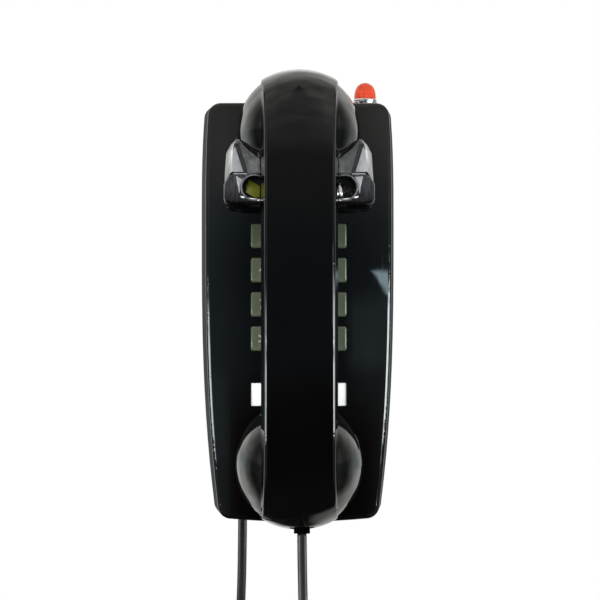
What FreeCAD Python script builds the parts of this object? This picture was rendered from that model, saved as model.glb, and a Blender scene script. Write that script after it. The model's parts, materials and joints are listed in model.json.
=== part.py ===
import FreeCAD, Part
import Sketcher
import math
import os
from FreeCAD import Vector, Rotation, Placement

# Push-button wall telephone with a handset hung on a clear cradle.
# Frame: +Z up, +X to the right of a person facing the phone, the wall is the
# plane y = 0 and the phone stands out of it towards -Y.  The origin lies on the
# wall, midway between the two keyholes of the base plate.  "Depth" below is the
# distance out of the wall, which is -Y.

doc = FreeCAD.newDocument("wall_telephone")
sheet = doc.addObject("Spreadsheet::Sheet", "Sizes")


class Size:
    """A number together with the spreadsheet expression that gives it."""

    def __init__(self, value, text):
        self.v = float(value)
        self.text = text

    @staticmethod
    def _of(other):
        if isinstance(other, Size):
            return other.v, other.text
        x = float(other)
        return x, ("%.6f" % x if x >= 0 else "(0 - %.6f)" % -x)

    def __add__(self, o):
        v, t = Size._of(o)
        return Size(self.v + v, "(%s + %s)" % (self.text, t))

    __radd__ = __add__

    def __sub__(self, o):
        v, t = Size._of(o)
        return Size(self.v - v, "(%s - %s)" % (self.text, t))

    def __rsub__(self, o):
        v, t = Size._of(o)
        return Size(v - self.v, "(%s - %s)" % (t, self.text))

    def __mul__(self, o):
        v, t = Size._of(o)
        return Size(self.v * v, "(%s * %s)" % (self.text, t))

    __rmul__ = __mul__

    def __truediv__(self, o):
        v, t = Size._of(o)
        return Size(self.v / v, "(%s / %s)" % (self.text, t))

    def __neg__(self):
        return Size(-self.v, "(0 - %s)" % self.text)


def num(x):
    return x.v if isinstance(x, Size) else float(x)


rows = [1]


def size(alias, value, note):
    r = rows[0]
    rows[0] += 1
    sheet.set("A%d" % r, note)
    sheet.set("B%d" % r, "%g" % value)
    sheet.setAlias("B%d" % r, alias)
    return Size(value, "Sizes." + alias)


# ---------------------------------------------------------------- driving sizes
house_half = size("house_half", 51.1, "housing, half width at the wall, widest")
house_top = size("house_top", 109.0, "housing, top edge above the origin at the wall")
house_bottom = size("house_bottom", 109.0, "housing, bottom edge below the origin at the wall")
taper_low = size("taper_low", 7.0, "housing, how much each side draws in at the bottom")
taper_high = size("taper_high", 1.5, "housing, how much each side draws in at the top")
house_draft = size("house_draft", 0.095, "housing, draft of all four sides, mm per mm of depth")
house_wall = size("house_wall", 2.6, "housing, wall thickness")
crown_depth = size("crown_depth", 55.0, "housing, depth of the front face on the centre line")
crown_radius = size("crown_radius", 309.0, "housing, radius of the crowned front face")
corner_round = size("corner_round", 6.5, "housing, corner radius seen from the front")
rim_round = size("rim_round", 2.2, "housing, radius round the rim of the front face")

plate_gauge = size("plate_gauge", 1.2, "base plate, sheet steel thickness")
stud_spacing = size("stud_spacing", 83.0, "keyholes, centre to centre of the round parts")
stud_hole = size("stud_hole", 4.75, "keyholes, radius of the round part")
stud_slot = size("stud_slot", 5.0, "keyholes, width of the narrow part")

pad_centre = size("pad_centre", 12.4, "keypad, height of its centre")
key_pitch = size("key_pitch", 16.93, "keypad, key to key, both ways")
key_wide = size("key_wide", 13.6, "key cap width")
key_tall = size("key_tall", 12.3, "key cap height")
key_front = size("key_front", 57.2, "key cap, depth of its front")
key_travel = size("key_travel", 3.0, "key travel")
bezel_front = size("bezel_front", 53.9, "keypad bezel, depth of its front")
pad_half_x = size("pad_half_x", 26.3, "keypad bezel, half width")
pad_half_z = size("pad_half_z", 34.3, "keypad bezel, half height")

card_z = size("card_z", -40.7, "number card, height of its centre")
card_wide = size("card_wide", 47.2, "number card width")
card_tall = size("card_tall", 11.4, "number card height")

lamp_x = size("lamp_x", 34.2, "message lamp, to the right of the centre line")
lamp_depth = size("lamp_depth", 30.0, "message lamp, depth of its axis")
lamp_radius = size("lamp_radius", 5.65, "message lamp, lens radius")

cap_face = size("cap_face", 55.4, "handset, depth of both cap faces")
ear_z = size("ear_z", 87.5, "handset, height of the receiver axis")
ear_radius = size("ear_radius", 29.9, "receiver cap radius")
mouth_z = size("mouth_z", -74.0, "handset, height of the transmitter axis")
mouth_radius = size("mouth_radius", 31.0, "transmitter cap radius")
grip_half = size("grip_half", 16.1, "handset, half width of the handle's front band")
grip_front = size("grip_front", 60.2, "handset, handle front in front of the cap faces")

pivot_depth = size("pivot_depth", 22.0, "cradle pivot, depth")
pivot_z = size("pivot_z", 62.0, "cradle pivot, height")
pin_radius = size("pin_radius", 1.95, "cradle pivot pin radius")
cradle_front = size("cradle_front", 89.0, "cradle ears, depth of their front")
cradle_back = size("cradle_back", 58.0, "cradle ears, depth of their back")
cradle_half = size("cradle_half", 36.4, "cradle, half width over the ears")

gong_x = size("gong_x", 22.8, "gongs, distance from the centre line")
gong_z = size("gong_z", -66.0, "gongs, height")
gong_radius = size("gong_radius", 19.8, "gong radius")
clapper_z = size("clapper_z", -36.0, "clapper pivot height")
wheel_x = size("wheel_x", 30.0, "loudness wheel, to the right of the centre line")
wheel_z = size("wheel_z", -98.8, "loudness wheel, height of its axis")
wheel_radius = size("wheel_radius", 9.0, "loudness wheel radius")

jack_x = size("jack_x", -28.5, "handset cord jack in the base, across")
jack_depth = size("jack_depth", 30.0, "handset cord jack in the base, depth")
socket_x = size("socket_x", 1.2, "handset cord socket in the handset, across")
socket_depth = size("socket_depth", 86.9, "handset cord socket in the handset, depth")
wire_width = size("wire_width", 4.6, "handset cord, width of the wire")
coil_width = size("coil_width", 11.5, "handset cord, outer diameter of the curly part")

doc.recompute()


# ------------------------------------------------------------ drawing the pieces
def bind(obj, prop, x):
    if isinstance(x, Size):
        obj.setExpression(prop, x.text)
    else:
        setattr(obj, prop, x)


def locate(obj, x=0.0, y=0.0, z=0.0, rotation=None):
    obj.Placement = Placement(Vector(num(x), num(y), num(z)), rotation or Rotation())
    for axis, value in (("x", x), ("y", y), ("z", z)):
        if isinstance(value, Size):
            obj.setExpression("Placement.Base." + axis, value.text)


def tie(sk, geo, pos, x, y):
    """Holds a sketch point at x, y."""
    for kind, value, axis in (("DistanceX", x, -2), ("DistanceY", y, -1)):
        if abs(num(value)) < 1e-9:
            sk.addConstraint(Sketcher.Constraint("PointOnObject", geo, pos, axis))
        else:
            i = sk.addConstraint(Sketcher.Constraint(kind, -1, 1, geo, pos, num(value)))
            if isinstance(value, Size):
                sk.setExpression("Constraints[%d]" % i, value.text)


def draw(sk, shape):
    """shape is ("poly", points), ("rect", x0, y0, x1, y1) or ("circle", x, y, r)."""
    if shape[0] == "rect":
        x0, y0, x1, y1 = shape[1:]
        shape = ("poly", [(x0, y0), (x1, y0), (x1, y1), (x0, y1)])
    if shape[0] == "poly":
        pts = shape[1]
        n = len(pts)
        first = None
        ids = []
        for i in range(n):
            a, b = pts[i], pts[(i + 1) % n]
            ids.append(sk.addGeometry(Part.LineSegment(
                Vector(num(a[0]), num(a[1]), 0), Vector(num(b[0]), num(b[1]), 0)), False))
        for i in range(n):
            sk.addConstraint(Sketcher.Constraint("Coincident", ids[i], 2, ids[(i + 1) % n], 1))
        for i in range(n):
            tie(sk, ids[i], 1, pts[i][0], pts[i][1])
    else:
        x, y, r = shape[1:]
        g = sk.addGeometry(Part.Circle(Vector(num(x), num(y), 0), Vector(0, 0, 1), num(r)), False)
        tie(sk, g, 3, x, y)
        i = sk.addConstraint(Sketcher.Constraint("Radius", g, num(r)))
        if isinstance(r, Size):
            sk.setExpression("Constraints[%d]" % i, r.text)


class Piece:
    """A PartDesign body made of pads and pockets between two levels of a plane.
    On the XZ plane a level is a depth out of the wall, on XY a height, on YZ an x."""

    def __init__(self, label):
        self.body = doc.addObject("PartDesign::Body", label)
        self.body.Label = label
        self.label = label
        self.count = 0

    def sketch(self, plane, level, shapes):
        self.count += 1
        sk = self.body.newObject("Sketcher::SketchObject", "%s_sketch%d" % (self.label, self.count))
        face = [f for f in self.body.Origin.OriginFeatures if f.Role == plane + "_Plane"][0]
        sk.AttachmentSupport = [(face, "")]
        sk.MapMode = "FlatFace"
        sk.AttachmentOffset = Placement(Vector(0, 0, num(level)), Rotation())
        if isinstance(level, Size):
            sk.setExpression("AttachmentOffset.Base.z", level.text)
        for s in shapes:
            draw(sk, s)
        return sk

    def pad(self, plane, low, high, *shapes):
        sk = self.sketch(plane, low, shapes)
        f = self.body.newObject("PartDesign::Pad", "%s_pad%d" % (self.label, self.count))
        f.Profile = sk
        span = high - low
        f.Length = num(span)
        bind(f, "Length", span)
        self.last = f
        return self

    def cut(self, plane, low, high, *shapes):
        sk = self.sketch(plane, high, shapes)
        f = self.body.newObject("PartDesign::Pocket", "%s_pocket%d" % (self.label, self.count))
        f.Profile = sk
        span = high - low
        f.Length = num(span)
        bind(f, "Length", span)
        self.last = f
        doc.recompute()
        before = [o for o in self.body.Group if hasattr(o, "Shape") and o is not f
                  and o.isDerivedFrom("PartDesign::Feature")][-1]
        if f.Shape.isNull() or f.Shape.Volume > before.Shape.Volume - 1e-3:
            raise RuntimeError(self.label + ": a pocket cuts nothing")
        return self

    def turn(self, plane, *points):
        """A full turn of a closed profile about the sketch's upright axis."""
        sk = self.sketch(plane, 0.0, [("poly", list(points))])
        f = self.body.newObject("PartDesign::Revolution", "%s_turn%d" % (self.label, self.count))
        f.Profile = sk
        f.ReferenceAxis = (sk, ["V_Axis"])
        f.Angle = 360.0
        self.last = f
        return self

    def ease(self, kind, radius, pick):
        """Rounds or chamfers the edges that pick chooses."""
        doc.recompute()
        base = self.last
        names = ["Edge%d" % (i + 1) for i, e in enumerate(base.Shape.Edges) if pick(e)]
        if not names:
            raise RuntimeError(self.label + ": no edge to ease")
        self.count += 1
        f = self.body.newObject("PartDesign::" + kind, "%s_%s%d" % (self.label, kind.lower(), self.count))
        f.Base = (base, names)
        prop = "Radius" if kind == "Fillet" else "Size"
        setattr(f, prop, num(radius))
        bind(f, prop, radius)
        self.last = f
        return self

    def ring(self, feature, number):
        """Repeats a feature round the sketch's upright axis."""
        doc.recompute()
        self.count += 1
        f = self.body.newObject("PartDesign::PolarPattern", "%s_ring%d" % (self.label, self.count))
        f.Originals = [feature]
        f.Axis = (feature.Profile[0], ["N_Axis"])
        f.Angle = 360.0
        f.Occurrences = number
        self.body.Tip = f
        self.last = f
        return self

    def at(self, x=0.0, y=0.0, z=0.0):
        locate(self.body, x, y, z)
        return self


def flat_edges(level, axis=1, tol=1e-4):
    """Picks the edges that lie wholly at one level of x, y or z."""
    def pick(e):
        box = e.BoundBox
        low = (box.XMin, box.YMin, box.ZMin)[axis]
        high = (box.XMax, box.YMax, box.ZMax)[axis]
        return abs(low - level) < tol and abs(high - level) < tol
    return pick


kept = []


def keep(obj, label=None):
    if label:
        obj.Label = label
    kept.append(obj)
    return obj


def cylinder(name, radius, height, x, y, z, rotation=None):
    c = doc.addObject("Part::Cylinder", name)
    c.Radius, c.Height = num(radius), num(height)
    bind(c, "Radius", radius)
    bind(c, "Height", height)
    locate(c, x, y, z, rotation)
    return c


def box(name, dx, dy, dz, x, y, z):
    b = doc.addObject("Part::Box", name)
    b.Length, b.Width, b.Height = num(dx), num(dy), num(dz)
    bind(b, "Length", dx)
    bind(b, "Width", dy)
    bind(b, "Height", dz)
    locate(b, x, y, z)
    return b


def boolean(kind, name, base, tool):
    f = doc.addObject("Part::" + kind, name)
    f.Base = base
    f.Tool = tool
    return f


FORWARD = Rotation(Vector(1, 0, 0), 90)     # local +Z points out of the wall, -Y
BACKWARD = Rotation(Vector(1, 0, 0), -90)   # local +Z points into the wall, +Y
ALONG_X = Rotation(Vector(0, 1, 0), 90)
DOWN = Rotation(Vector(1, 0, 0), 180)


def screws(label, places, head_r, head_h, shank_r, shank_l, rotation):
    """Slotted cheese-head screws: each head stands from its place along the
    rotation's +Z, and its shank goes the other way."""
    made = []
    for i, (x, y, z) in enumerate(places):
        n = "%s_%d" % (label, i + 1)
        head = cylinder(n + "_head", head_r, head_h, x, y, z, rotation)
        back = rotation.multVec(Vector(0, 0, -1)) * num(shank_l)
        sx = num(x) + back.x
        sy = num(y) + back.y
        sz = num(z) + back.z
        shank = cylinder(n + "_shank", shank_r, shank_l,
                         x + back.x, y + back.y, z + back.z, rotation)
        whole = boolean("Fuse", n + "_whole", head, shank)
        slot = doc.addObject("Part::Box", n + "_slot")
        slot.Length, slot.Width, slot.Height = 2 * num(head_r) + 2, 0.7, 0.7
        corner = rotation.multVec(Vector(-num(head_r) - 1, -0.35, num(head_h) - 0.6))
        slot.Placement = Placement(Vector(num(x), num(y), num(z)) + corner, rotation)
        made.append(boolean("Cut", n, whole, slot))
    group = doc.addObject("Part::Compound", label)
    group.Links = made
    return keep(group, label)


def feature(label, shape, placement=None):
    """A piece whose form is neither a body of pads nor primitives."""
    f = doc.addObject("Part::Feature", label)
    f.Label = label
    f.Shape = shape
    if placement is not None:
        f.Placement = placement
    return keep(f)


def cell(alias):
    return float(sheet.get(alias))


# ================================================================== base plate
p = Piece("base_plate")
p.pad("XZ", 0.0, plate_gauge, ("poly", [
    (-46.2, 104.0), (-47.4, 60.0), (-47.4, 0.0), (-46.2, -40.0), (-40.9, -104.0),
    (40.9, -104.0), (46.2, -40.0), (47.4, 0.0), (47.4, 60.0), (46.2, 104.0)]))
p.pad("XZ", plate_gauge, Size(8.0, "8.0"), ("rect", 46.0, -10.0, 47.2, 60.0),
      ("rect", -47.2, -10.0, -46.0, 60.0), ("rect", -30.0, 102.8, 30.0, 104.0))
p.pad("XZ", plate_gauge, Size(14.0, "14.0"), ("rect", -20.0, -104.0, 18.0, -102.8))
p.cut("XZ", -1.0, plate_gauge + 0.5, ("circle", 0.0, stud_spacing / 2, stud_hole),
      ("circle", 0.0, -stud_spacing / 2, stud_hole))
p.cut("XZ", -1.0, plate_gauge + 0.5,
      ("rect", -stud_slot / 2, stud_spacing / 2, stud_slot / 2, stud_spacing / 2 + 9.0),
      ("rect", -stud_slot / 2, -stud_spacing / 2, stud_slot / 2, -stud_spacing / 2 + 9.0))
p.cut("XZ", -1.0, plate_gauge + 0.5, ("rect", -14.0, -12.0, 14.0, 24.0))
p.cut("XY", -105.0, -102.0, ("circle", -14.0, -8.0, 1.75), ("circle", 10.0, -8.0, 1.75))
keep(p.body)

# ===================================================================== housing
hh, ht, hb = cell("house_half"), cell("house_top"), cell("house_bottom")
tl, th = cell("taper_low"), cell("taper_high")
draft, wall = cell("house_draft"), cell("house_wall")
crown_d, crown_r = cell("crown_depth"), cell("crown_radius")


def half_width(z):
    """The housing's half width at the wall, at height z."""
    if z > 60.0:
        return hh - th * ((z - 60.0) / 44.0) ** 2
    if z < 40.0:
        return hh - tl * ((40.0 - z) / 144.0) ** 2.7
    return hh


def outline(depth, inset, r):
    """The housing's outline at a depth: eight edges, rounded corners, a bottom
    that bows down slightly in the middle."""
    e = draft * depth + inset
    top, low = ht - e, -(hb - 1.4) + e
    zs = [top - r + (low + r - (top - r)) * i / 8.0 for i in range(9)]
    right = [Vector(half_width(z) - e, -depth, z) for z in zs]
    left = [Vector(-v.x, v.y, v.z) for v in right]
    a, b = right[0], right[-1]
    k = r * (1 - math.sqrt(0.5))
    tr0 = Vector(a.x - r, -depth, top)
    br0 = Vector(b.x - r, -depth, low)
    edges = [
        Part.LineSegment(Vector(-tr0.x, -depth, top), tr0).toShape(),
        Part.Arc(tr0, Vector(a.x - k, -depth, top - k), a).toShape(),
    ]
    s = Part.BSplineCurve()
    s.interpolate(right)
    edges.append(s.toShape())
    edges.append(Part.Arc(b, Vector(b.x - k, -depth, low + k), br0).toShape())
    edges.append(Part.Arc(br0, Vector(0, -depth, low - 1.4), Vector(-br0.x, -depth, low)).toShape())
    edges.append(Part.Arc(Vector(-br0.x, -depth, low), Vector(-b.x + k, -depth, low + k),
                          left[-1]).toShape())
    s = Part.BSplineCurve()
    s.interpolate(list(reversed(left)))
    edges.append(s.toShape())
    edges.append(Part.Arc(left[0], Vector(-a.x + k, -depth, top - k),
                          Vector(-tr0.x, -depth, top)).toShape())
    return Part.Wire(edges)


def crown(depth):
    """Everything behind the crowned front, a cylinder whose axis is upright."""
    return Part.makeCylinder(crown_r, 300, Vector(0, crown_r - depth, -150), Vector(0, 0, 1))


cr = cell("corner_round")
outer = Part.makeLoft([outline(d, 0, cr) for d in (0, 22, 44, 60)], True, True)
outer = outer.common(crown(crown_d))
rim = [e for e in outer.Edges if abs(e.BoundBox.YMin + 53) < 2.6 and e.BoundBox.YMax < -48]
outer = outer.makeFillet(cell("rim_round"), rim)
inner = Part.makeLoft([outline(d, wall, cr - wall) for d in (-2, 22, 41.4, 60)], True, True)
inner = inner.common(crown(crown_d - wall))
shell = outer.cut(inner)
cz, ct, cw = cell("card_z"), cell("card_tall"), cell("card_wide")
# a thicker place behind the number card
shell = shell.fuse(Part.makeBox(56, 2.9, 20, Vector(-28, -52.4, cz - 10)))
pz = cell("pad_centre")
px2, pz2 = cell("pad_half_x"), cell("pad_half_z")
lx, ld = cell("lamp_x"), cell("lamp_depth")
jx, jd = cell("jack_x"), cell("jack_depth")
wx, wz = cell("wheel_x"), cell("wheel_z")
cutters = [
    Part.makeBox(2 * px2 + 0.6, 20, 2 * pz2 + 0.6, Vector(-px2 - 0.3, -60, pz - pz2 - 0.3)),
    Part.makeBox(cw + 3.2, 10, ct + 3.4, Vector(-cw / 2 - 1.6, -61.9, cz - ct / 2 - 1.7)),
    Part.makeBox(51.6, 20, 10.4, Vector(-25.8, -60, 50.8)),
    Part.makeCylinder(5.2, 20, Vector(lx, -ld, 97), Vector(0, 0, 1)),
    Part.makeBox(9.2, 8.4, 12, Vector(jx - 4.6, -jd - 4.2, -112)),
    Part.makeBox(15.8, 4.8, 8, Vector(wx - 7.9, -12.2, -112)),
]
for sx in (-14.0, 10.0):
    cutters.append(Part.makeCylinder(1.8, 12, Vector(sx, -8, -112), Vector(0, 0, 1)))
    cutters.append(Part.makeCylinder(3.4, 5.2, Vector(sx, -8, -112), Vector(0, 0, 1)))
for c in cutters:
    shell = shell.cut(c)
feature("housing", shell)

screws("housing_screws", [(-14.0, -8.0, -106.8), (10.0, -8.0, -106.8)], 3.0, 1.5, 1.6, 7.0, DOWN)

# ==================================================== line plug for the wall plate
p = Piece("wall_plug")
p.pad("XZ", 3.4, 10.0, ("rect", -4.85, 8.5, 4.85, 20.8))
p.pad("XZ", 10.0, 11.2, ("rect", -3.0, 10.0, 3.0, 20.0))
p.cut("XZ", 1.8, 4.4, *[("rect", -3.0 + 1.55 * i, 8.0, -2.0 + 1.55 * i, 13.0) for i in range(4)])
keep(p.body)

p = Piece("plug_bracket")
p.pad("XZ", plate_gauge, plate_gauge + 1.2, ("rect", -11.0, 24.5, 11.0, 33.0))
p.pad("XZ", plate_gauge, Size(11.6, "11.6"), ("rect", -7.0, 20.8, 7.0, 26.0))
keep(p.body)

# ============================================================ handset cord jack
p = Piece("handset_jack")
p.pad("XZ", 24.0, 36.0, ("rect", jack_x - 6.5, -101.0, jack_x + 6.5, -88.0))
p.pad("XZ", plate_gauge, Size(24.0, "24.0"), ("rect", jack_x - 6.5, -98.0, jack_x + 6.5, -90.0))
p.cut("XY", -102.0, -91.5, ("rect", jack_x - 3.95, -33.4, jack_x + 3.95, -26.6))
keep(p.body)

# ======================================================================= network
p = Piece("network_can")
p.pad("XZ", plate_gauge, Size(22.0, "22.0"), ("rect", -36.0, 68.0, 36.0, 100.0))
p.ease("Fillet", 3.0, lambda e: e.BoundBox.YLength > 15)
keep(p.body)
p = Piece("terminal_board")
p.pad("XZ", 22.0, 24.0, ("rect", -37.0, 67.0, 37.0, 101.0))
p.ease("Chamfer", 1.0, lambda e: e.BoundBox.YLength > 1.5)
# the shanks of the terminal screws sit in blind holes of the board
posts = [(-28.0 + 14.0 * i, z) for i in range(5) for z in (73.0, 95.0)]
p.cut("XZ", 22.4, 24.0, *[("circle", x, z, 1.42) for x, z in posts])
keep(p.body)
screws("terminal_screws", [(x, -24.0, z) for x, z in posts], 2.6, 1.8, 1.4, 1.5, FORWARD)

# ======================================================================== ringer
p = Piece("ringer_bracket")
p.pad("XZ", plate_gauge, plate_gauge + 1.4, ("rect", -34.0, -86.0, 34.0, -14.0))
p.pad("XZ", plate_gauge, Size(20.0, "20.0"), ("rect", 15.2, -33.0, 16.6, -15.0),
      ("rect", -16.6, -33.0, -15.2, -15.0))
p.pad("XZ", plate_gauge, Size(24.7, "24.7"), ("circle", gong_x, gong_z, 3.2), ("circle", -gong_x, gong_z, 3.2))
p.pad("YZ", -15.6, 15.6, ("circle", -14.0, -24.0, 2.9))
p.cut("XZ", 17.5, 25.0, ("circle", gong_x, gong_z, 1.95), ("circle", -gong_x, gong_z, 1.95))
# the plate is open behind the clapper, where the wall stud's head goes in, and a
# raised bridge over the opening holds the clapper's pin
p.cut("XZ", 0.5, 3.0, ("rect", -7.5, -48.0, 7.5, -27.0))
p.pad("XZ", plate_gauge, Size(9.8, "9.8"), ("rect", -14.0, -39.0, -12.0, -33.6), ("rect", 12.0, -39.0, 14.0, -33.6))
p.pad("XZ", 8.6, 9.8, ("rect", -14.0, -39.0, 14.0, -33.6))
keep(p.body)

p = Piece("ringer_coil")
p.turn("XY", (3.0, -15.0), (9.0, -15.0), (9.0, -13.8), (7.6, -13.8), (7.6, 13.8), (9.0, 13.8),
       (9.0, 15.0), (3.0, 15.0))
p.body.Placement = Placement(Vector(0, -14, -24), Rotation(Vector(0, 0, 1), 90))
keep(p.body)

for label, side, t in (("gong_high", 1, 1.2), ("gong_low", -1, 1.5)):
    p = Piece(label)
    p.turn("XY", (2.0, -24.7), (2.0, -26.2), (8.0, -26.2), (15.6, -24.2), (gong_radius, -18.0),
           (gong_radius, -10.0), (gong_radius - t, -10.0), (gong_radius - t, -17.7),
           (15.6 - t * 0.8, -24.2 + t), (7.8, -24.7))
    p.at(gong_x * side, 0.0, gong_z)
    keep(p.body)
screws("gong_screws", [(gong_x, -26.2, gong_z), (-gong_x, -26.2, gong_z)], 3.4, 1.8, 1.9, 8.0, FORWARD)

p = Piece("clapper")
p.pad("XZ", 11.0, 15.0, ("rect", -12.0, clapper_z - 2.2, 12.0, clapper_z + 1.8))
p.pad("XZ", 12.4, 13.6, ("rect", -0.7, clapper_z - 28.0, 0.7, clapper_z - 2.0))
p.pad("XZ", 10.4, 15.6, ("circle", 0.0, clapper_z - 28.6, 1.6))
p.cut("XZ", 10.0, 16.0, ("circle", 0.0, clapper_z, 1.06))
keep(p.body)
p = Piece("clapper_pin")
p.pad("XZ", 9.8, 17.0, ("circle", 0.0, clapper_z, 1.0))
p.pad("XZ", 15.4, 17.0, ("circle", 0.0, clapper_z, 1.7))
keep(p.body)

# loudness wheel, turned from below with a fingertip
p = Piece("loudness_wheel")
teeth = []
for i in range(48):
    a = math.radians(360.0 / 48 * i)
    f = 1.0 if i % 2 == 0 else 0.955
    teeth.append((wheel_x + wheel_radius * (f * math.cos(a)), wheel_z + wheel_radius * (f * math.sin(a))))
p.pad("XZ", 8.0, 11.4, ("poly", teeth))
p.cut("XZ", 7.5, 12.0, ("circle", wheel_x, wheel_z, 1.56))
keep(p.body)
p = Piece("wheel_pin")
p.pad("XZ", plate_gauge, Size(13.0, "13.0"), ("circle", wheel_x, wheel_z, 1.5))
p.pad("XZ", 11.7, 13.0, ("circle", wheel_x, wheel_z, 2.6))
p.pad("XZ", plate_gauge, Size(7.7, "7.7"), ("circle", wheel_x, wheel_z, 2.6))
keep(p.body)

# =================================================== hook switch and clear cradle
pd, pzv = pivot_depth, pivot_z
p = Piece("hook_bracket")
p.pad("XZ", plate_gauge, plate_gauge + 1.2, ("rect", -36.0, 55.0, 36.0, 66.5))
for a, b in ((27.0, 28.5), (-28.5, -27.0)):
    p.pad("YZ", a, b, ("poly", [(-plate_gauge, 55.0), (-plate_gauge, 66.5), (-24.0, 66.5),
                                (-27.0, 63.5), (-27.0, 60.0), (-20.0, 55.0)]))
p.cut("YZ", -30.0, 30.0, ("circle", -pd, pzv, pin_radius))
keep(p.body)

pin = cylinder("hook_pin_shaft", pin_radius, 60.0, -30.0, -pd, pzv, ALONG_X)
head = cylinder("hook_pin_head", 3.2, 1.4, -31.4, -pd, pzv, ALONG_X)
keep(boolean("Fuse", "hook_pin", pin, head))

# torsion spring round the pin
wire_r, mean_r, turns, pitch = 0.6, 3.5, 6.0, 2.2
helix = Part.makeHelix(pitch, pitch * turns, mean_r)
profile = Part.Wire([Part.makeCircle(wire_r, Vector(mean_r, 0, 0), Vector(0, 1, 0))])
spring = Part.Wire(helix.Edges).makePipeShell([profile], True, True)
spring.rotate(Vector(0, 0, 0), Vector(0, 1, 0), 90)
spring.translate(Vector(-pitch * turns / 2, -cell("pivot_depth"), cell("pivot_z")))
feature("hook_spring", spring)

cf, cb, ch = cell("cradle_front"), cell("cradle_back"), cell("cradle_half")
ez, er, face = cell("ear_z"), cell("ear_radius"), cell("cap_face")
vd, vz = cell("pivot_depth"), cell("pivot_z")


def plate_xz(points, depth0, depth1):
    """A flat outline (x, z) made solid between two depths."""
    w = Part.makePolygon([Vector(x, -depth0, z) for x, z in points + points[:1]])
    return Part.Face(w).extrude(Vector(0, -(depth1 - depth0), 0))


def plate_yz(points, x0, x1):
    """A flat outline (depth, z) made solid between two x."""
    w = Part.makePolygon([Vector(x0, -d, z) for d, z in points + points[:1]])
    return Part.Face(w).extrude(Vector(x1 - x0, 0, 0))


# form of the handset's cups in front of the cap: radius less, depth from the face
CUP = ((0.0, 13.5), (1.0, 19.5), (3.7, 27.5), (7.6, 35.0), (12.9, 41.5), (19.9, 46.0))


def cup_solid(radius, zc, less=0.0, floor=48.0, start=13.5):
    """A cup of the handset: its domed form turned about its axis."""
    pts = [Vector(radius - c - less, -(face + a), zc) for c, a in CUP]
    s = Part.BSplineCurve()
    s.interpolate(pts + [Vector(0.0, -(face + floor), zc)])
    end = Vector(0.0, -(face + floor), zc)
    edges = [s.toShape(), Part.LineSegment(end, Vector(0, -(face + start), zc)).toShape()]
    rim = Vector(pts[0].x, -(face + start), zc)
    edges.append(Part.LineSegment(Vector(0, -(face + start), zc), rim).toShape())
    if start != 13.5:
        edges.append(Part.LineSegment(rim, pts[0]).toShape())
    return Part.Face(Part.Wire(edges)).revolve(Vector(0, 0, zc), Vector(0, 1, 0), 360)


# The handset leaves its cradle upwards and outwards at 60 degrees, so the ears may
# reach in front of the lower part of the receiver's cup as far as that path allows.
block = plate_xz([(-36.2, 55.2), (-34.2, 50.4), (34.2, 50.4), (36.2, 55.2), (ch - 0.2, 66), (35.4, 77.5),
                  (33.1, 81.6), (29.6, 84.2), (-29.6, 84.2), (-33.1, 81.6), (-35.4, 77.5), (-ch + 0.2, 66)],
                 cb, cf)
block = block.cut(cup_solid(er, ez, -0.45, 48.6, -20.0))
block = block.cut(Part.makeBox(36.6, 40, 60, Vector(-18.3, -(cb + 8.5) - 40, 45)))
block = block.cut(plate_yz([(cf, 70.5), (cf + 10, 70.5), (cf + 10, 90), (cf - 20.0, 90), (cf - 16.0, 84.2)], -50, 50))
arm = plate_yz([(18, 59), (18, 65), (24, 66), (46, 57.2), (cb + 4, 56.4), (cb + 4, 51), (44, 51.4)], -25, 25)
boss = Part.makeCylinder(4.4, 50, Vector(-25, -vd, vz), Vector(1, 0, 0))
finger = Part.makeBox(8, 3.4, 12, Vector(-20, -18.6, 50))
lever = block.fuse(arm).fuse(boss).fuse(finger)
lever = lever.cut(Part.makeBox(18.4, 18, 16, Vector(-9.2, -32, 55.5)))
lever = lever.cut(Part.makeCylinder(cell("pin_radius") + 0.07, 60, Vector(-30, -vd, vz), Vector(1, 0, 0)))
feature("hook_lever", lever.removeSplitter())

p = Piece("switch_stack")
p.pad("XZ", plate_gauge, Size(14.0, "14.0"), ("rect", -24.5, 28.0, -11.6, 44.0))
p.ease("Fillet", 1.0, lambda e: e.BoundBox.YLength > 10)
keep(p.body)
leaves = [box("switch_leaf_%d" % (i + 1), 9.0, 0.4, 12.0 + (i % 2) * 1.5, -22.5, -(3.4 + 2.4 * i), 44.0)
          for i in range(5)]
g = doc.addObject("Part::Compound", "switch_leaves")
g.Links = leaves
keep(g, "switch_leaves")

# ======================================================================= keypad
grid = [(c, r) for r in range(4) for c in range(3)]
names = ["1", "2", "3", "4", "5", "6", "7", "8", "9", "star", "0", "pound"]


def key_at(c, r):
    return key_pitch * (c - 1.0), pad_centre + key_pitch * (1.5 - r)


p = Piece("keypad_bezel")
p.pad("XZ", bezel_front - 3.5, bezel_front,
      ("rect", -pad_half_x, pad_centre - pad_half_z, pad_half_x, pad_centre + pad_half_z))
windows = []
for c, r in grid:
    x, z = key_at(c, r)
    windows.append(("rect", x - key_wide / 2 - 0.35, z - key_tall / 2 - 0.35,
                    x + key_wide / 2 + 0.35, z + key_tall / 2 + 0.35))
p.cut("XZ", bezel_front - 4.0, bezel_front + 0.5, *windows)
keep(p.body)

for name, (c, r) in zip(names, grid):
    x, z = key_at(c, r)
    p = Piece("key_" + name)
    p.pad("XZ", key_front - 9.0, key_front - 7.1,
          ("rect", -(key_wide / 2 + 0.9), -(key_tall / 2 + 0.9), key_wide / 2 + 0.9, key_tall / 2 + 0.9))
    p.pad("XZ", key_front - 7.1, key_front,
          ("rect", -key_wide / 2, -key_tall / 2, key_wide / 2, key_tall / 2))
    p.ease("Fillet", 0.8, flat_edges(-num(key_front)))
    p.pad("XZ", key_front - 12.0, key_front - 9.0, ("circle", 0.0, 0.0, 2.0))
    p.at(x, 0.0, z)
    keep(p.body)

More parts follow.
